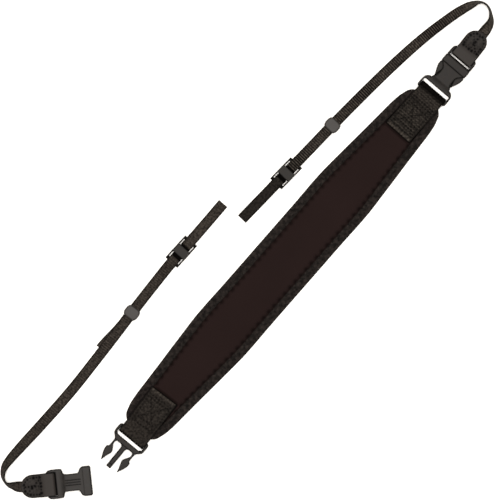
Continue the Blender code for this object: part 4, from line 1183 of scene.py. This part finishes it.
class STRAP_OT_leather_tabs(bpy.types.Operator):
    """Leather folded round the frame's bar, its two layers sewn together over the webbing's end"""

    bl_idname = "strap.leather_tabs"
    bl_label = "Leather Tabs"

    def execute(self, context):
        settings = context.scene.strap_leather
        hide = made(corrected_leather, settings)
        thread = made(bonded_thread, context.scene.strap_pad)
        share, sunk, under, thread_radius = HIDE_STITCHES
        half, reach = settings.thickness / 2, settings.width / 2
        for node, tip, origin, turn, bar_front, bar_length, fold, droop, row, shaded in LEATHER_TABS:
            bar = origin, turn, bar_front, bar_length
            radius = BAR_HALF + CLEAR + LEATHER_FOLD
            bulge = fold * MM, droop * MM, LEATHER_SQUARE
            route, distance, middles, left, count = folded_line(
                tip, *bar, bar_length * MM - FOLD_PLAY, LEATHER_RAMP, LEATHER_LAYERS, radius, *bulge
            )
            band = Band(middles, left)
            inside = np.clip(distance, LEATHER_TIP_INSET, reach)
            widths = np.maximum(np.sqrt(reach**2 - (reach - inside) ** 2), half * 1.05)
            smooth_from = route.length - row * MM
            stretched = eased(distance - smooth_from, LEATHER_STRETCH)
            points, uv, notes = band.solid(widths, half, HIDE_COLUMNS, HIDE_EDGE, stretched=stretched)
            held = route.length - bar_length * MM - LEATHER_RAMP

            def drop(distance, sideways):
                """How far the upper layer comes down to the lower one beside the webbing."""
                down = np.maximum(eased(np.abs(sideways), BESIDE_STRAP), eased(distance, LEATHER_TIP))
                return LEATHER_DROP * down * eased(distance - held, LEATHER_HELD)

            # the upper layer's underside comes down more than its face
            level = points[:count, :, 2]
            side = (level - level.mean(axis=1)[:, None]) / np.ptp(level, axis=1)[:, None]
            level -= drop(distance[:count, None], notes["across"][:count] - 0.5) * (0.7 - 0.6 * side)
            paths = self.seam_paths(reach, smooth_from - 0.8 * MM)
            seams = band.seams(count, paths, settings.stitch, share, half - sunk, drop)
            # painted shade round the needle holes, wider where some stitches pull harder than others
            pulled = (0.35 + 0.55 * np.random.default_rng(4).random(len(seams[0])) ** 1.5) * MM
            notes["pinch"] = np.clip(1.7 * pinch_near(points, seams[0], pulled), 0, 1)
            # painted shade on the fold's lower half and on the last steps of its upper half
            notes["pinch"][len(distance) // 2 - shaded : len(distance) - count] = 1.0
            name = node + "_hide"
            dress(add_piece(name, grid_mesh(name, points, notes, uv), hide), node)
            sew_through(node + "_stitches", seams, slice(None), under, thread_radius, thread, "leather")
        return {"FINISHED"}

    def seam_paths(self, reach, end):
        """A seam round the sewn part, with one along its middle and one from corner to corner."""
        radius = reach - HIDE_SEAM_INSET
        arc = [(reach - radius * cos(radians(a)), radius * sin(radians(a))) for a in range(90, -91, -10)]
        corner = radius * 0.72
        return (
            [(end, radius), *arc, (end, -radius), (end, radius)],
            ((3.4 * MM, 0.0), (end, 0.0)),
            ((end - 1.2 * MM, corner), (reach - radius * 0.6, -corner)),
        )


# -------------------- moulded pieces


def rounded_copy(node, settings, maker, width=None, weld=MERGED):
    """A copy of a packed moulding with rounded edges, and facets smaller than the weld closed."""
    name = node + "_moulding"
    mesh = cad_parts[node].data.copy()
    mesh.name = name
    solid = bmesh.new()
    solid.from_mesh(mesh)
    bmesh.ops.remove_doubles(solid, verts=solid.verts, dist=MERGED)
    while True:  # slivers folded flat on their neighbours would be rounded into creases
        folds = [line for line in solid.edges if line.calc_face_angle(0) > FOLDED_FLAT]
        if not folds:
            break
        bmesh.ops.dissolve_edges(solid, edges=folds[:1], use_verts=False)
    bmesh.ops.dissolve_limit(solid, angle_limit=SAME_FACE, verts=solid.verts, edges=solid.edges)
    bmesh.ops.remove_doubles(solid, verts=solid.verts, dist=weld)
    solid.to_mesh(mesh)
    solid.free()
    piece = add_piece(name, mesh, made(maker, settings))
    edges = piece.modifiers.new("edges", "BEVEL")
    edges.width = width or settings.edge
    edges.segments = settings.edge_steps
    edges.limit_method = "ANGLE"
    edges.angle_limit = ROUNDED_FROM
    bake_modifiers(piece)
    piece.data.shade_smooth()
    piece.data.set_sharp_from_angle(angle=SHARP_FROM)
    piece.modifiers.new("even_normals", "WEIGHTED_NORMAL").keep_sharp = True
    bake_modifiers(piece)
    dress(piece, node)


class STRAP_OT_buckles(bpy.types.Operator):
    """Side-release sockets and plugs, with the moulded edges rounded"""

    bl_idname = "strap.buckles"
    bl_label = "Buckles"

    def execute(self, context):
        settings = context.scene.strap_buckles
        rounded_copy("pad_socket", settings, spark_finished_acetal)
        for node in ("connector_plug", "pad_plug"):
            rounded_copy(node, settings, spark_finished_acetal, weld=0.15 * MM)
        rounded_copy("connector_socket", settings, handled_acetal)
        return {"FINISHED"}


class STRAP_OT_keepers_and_sliders(bpy.types.Operator):
    """Domed keepers and three-bar sliders on the narrow webbing"""

    bl_idname = "strap.keepers_and_sliders"
    bl_label = "Keepers and Sliders"

    def execute(self, context):
        settings = context.scene.strap_buckles
        for side in ("fastened", "loose"):
            rounded_copy("strap_slider_" + side, settings, spark_finished_acetal)
            rounded_copy("strap_keeper_" + side, settings, soft_keeper_plastic, 0.6 * MM)
        return {"FINISHED"}


# -------------------- stage


class STRAP_OT_stage(bpy.types.Operator):
    """Pale floor, soft light and the camera straight above"""

    bl_idname = "strap.stage"
    bl_label = "Stage"

    def execute(self, context):
        settings = context.scene.strap_stage
        scene = context.scene
        scene.view_settings.view_transform = "Standard"
        bpy.ops.mesh.primitive_plane_add(size=FLOOR_SIZE, location=(0, 0, 0))
        floor = context.object
        floor.name = "paper_floor"
        floor.data.materials.append(start_material("matt_paper", settings.floor, 0.95, 1.45, 0.1)[0])
        scene.world = bpy.data.worlds.new("even_light")
        scene.world.use_nodes = True
        sky = scene.world.node_tree.nodes["Background"]
        sky.inputs["Color"].default_value = (1, 1, 1, 1)
        sky.inputs["Strength"].default_value = settings.sky
        for name, place, size, power in (
            ("overhead_softbox", ABOVE * 3.6, 1.8, settings.overhead),
            ("key_softbox", -PHOTO_RIGHT * 0.9 + PHOTO_UP * 1.0 + ABOVE * 1.6, 1.0, settings.key),
        ):
            light = bpy.data.lights.new(name, "AREA")
            light.energy = power
            light.shape = "SQUARE"
            light.size = size
            light.color = settings.warmth
            lamp = bpy.data.objects.new(name, light)
            scene.collection.objects.link(lamp)
            lamp.location = PHOTO_CENTRE + place
            lamp.rotation_euler = (-place).to_track_quat("-Z", "Y").to_euler()
        camera = bpy.data.cameras.new("photo_camera")
        camera.sensor_fit = "HORIZONTAL"
        camera.sensor_width = SENSOR_WIDTH
        camera.lens = SENSOR_WIDTH * settings.distance / settings.view_width
        camera.clip_end = 50.0
        scene.camera = bpy.data.objects.new("photo_camera", camera)
        scene.collection.objects.link(scene.camera)
        turn = Matrix((PHOTO_RIGHT, PHOTO_UP, ABOVE)).transposed().to_4x4()
        turn.translation = PHOTO_CENTRE + ABOVE * settings.distance
        scene.camera.matrix_world = turn
        return {"FINISHED"}


# -------------------- add-on


class STRAP_PT_panel(bpy.types.Panel):
    """The strap's pieces in the order in which they are built"""

    bl_idname = "STRAP_PT_panel"
    bl_label = "Camera Neck Strap"
    bl_space_type = "VIEW_3D"
    bl_region_type = "UI"
    bl_category = "Neck Strap"

    def draw(self, context):
        layout = self.layout
        for operator in OPERATORS:
            layout.operator(operator.bl_idname)
        for name in GROUPS:
            box = layout.box()
            group = getattr(context.scene, name)
            for key in group.__annotations__:
                box.prop(group, key)


GROUPS = {
    "strap_stage": StrapStageSettings,
    "strap_pad": StrapPadSettings,
    "strap_webbing": StrapWebbingSettings,
    "strap_leather": StrapLeatherSettings,
    "strap_buckles": StrapBuckleSettings,
}
OPERATORS = (
    STRAP_OT_stage,
    STRAP_OT_neck_pad,
    STRAP_OT_edge_binding,
    STRAP_OT_webbing_tabs,
    STRAP_OT_connector_straps,
    STRAP_OT_leather_tabs,
    STRAP_OT_buckles,
    STRAP_OT_keepers_and_sliders,
)


def register():
    for cls in (*GROUPS.values(), *OPERATORS, STRAP_PT_panel):
        bpy.utils.register_class(cls)
    for name, group in GROUPS.items():
        setattr(bpy.types.Scene, name, PointerProperty(type=group))


def unregister():
    for name in GROUPS:
        delattr(bpy.types.Scene, name)
    for cls in reversed((*GROUPS.values(), *OPERATORS, STRAP_PT_panel)):
        bpy.utils.unregister_class(cls)


def main():
    register()
    for operator in OPERATORS:
        getattr(bpy.ops.strap, operator.bl_idname.split(".")[1])()


if __name__ == "__main__":
    main()
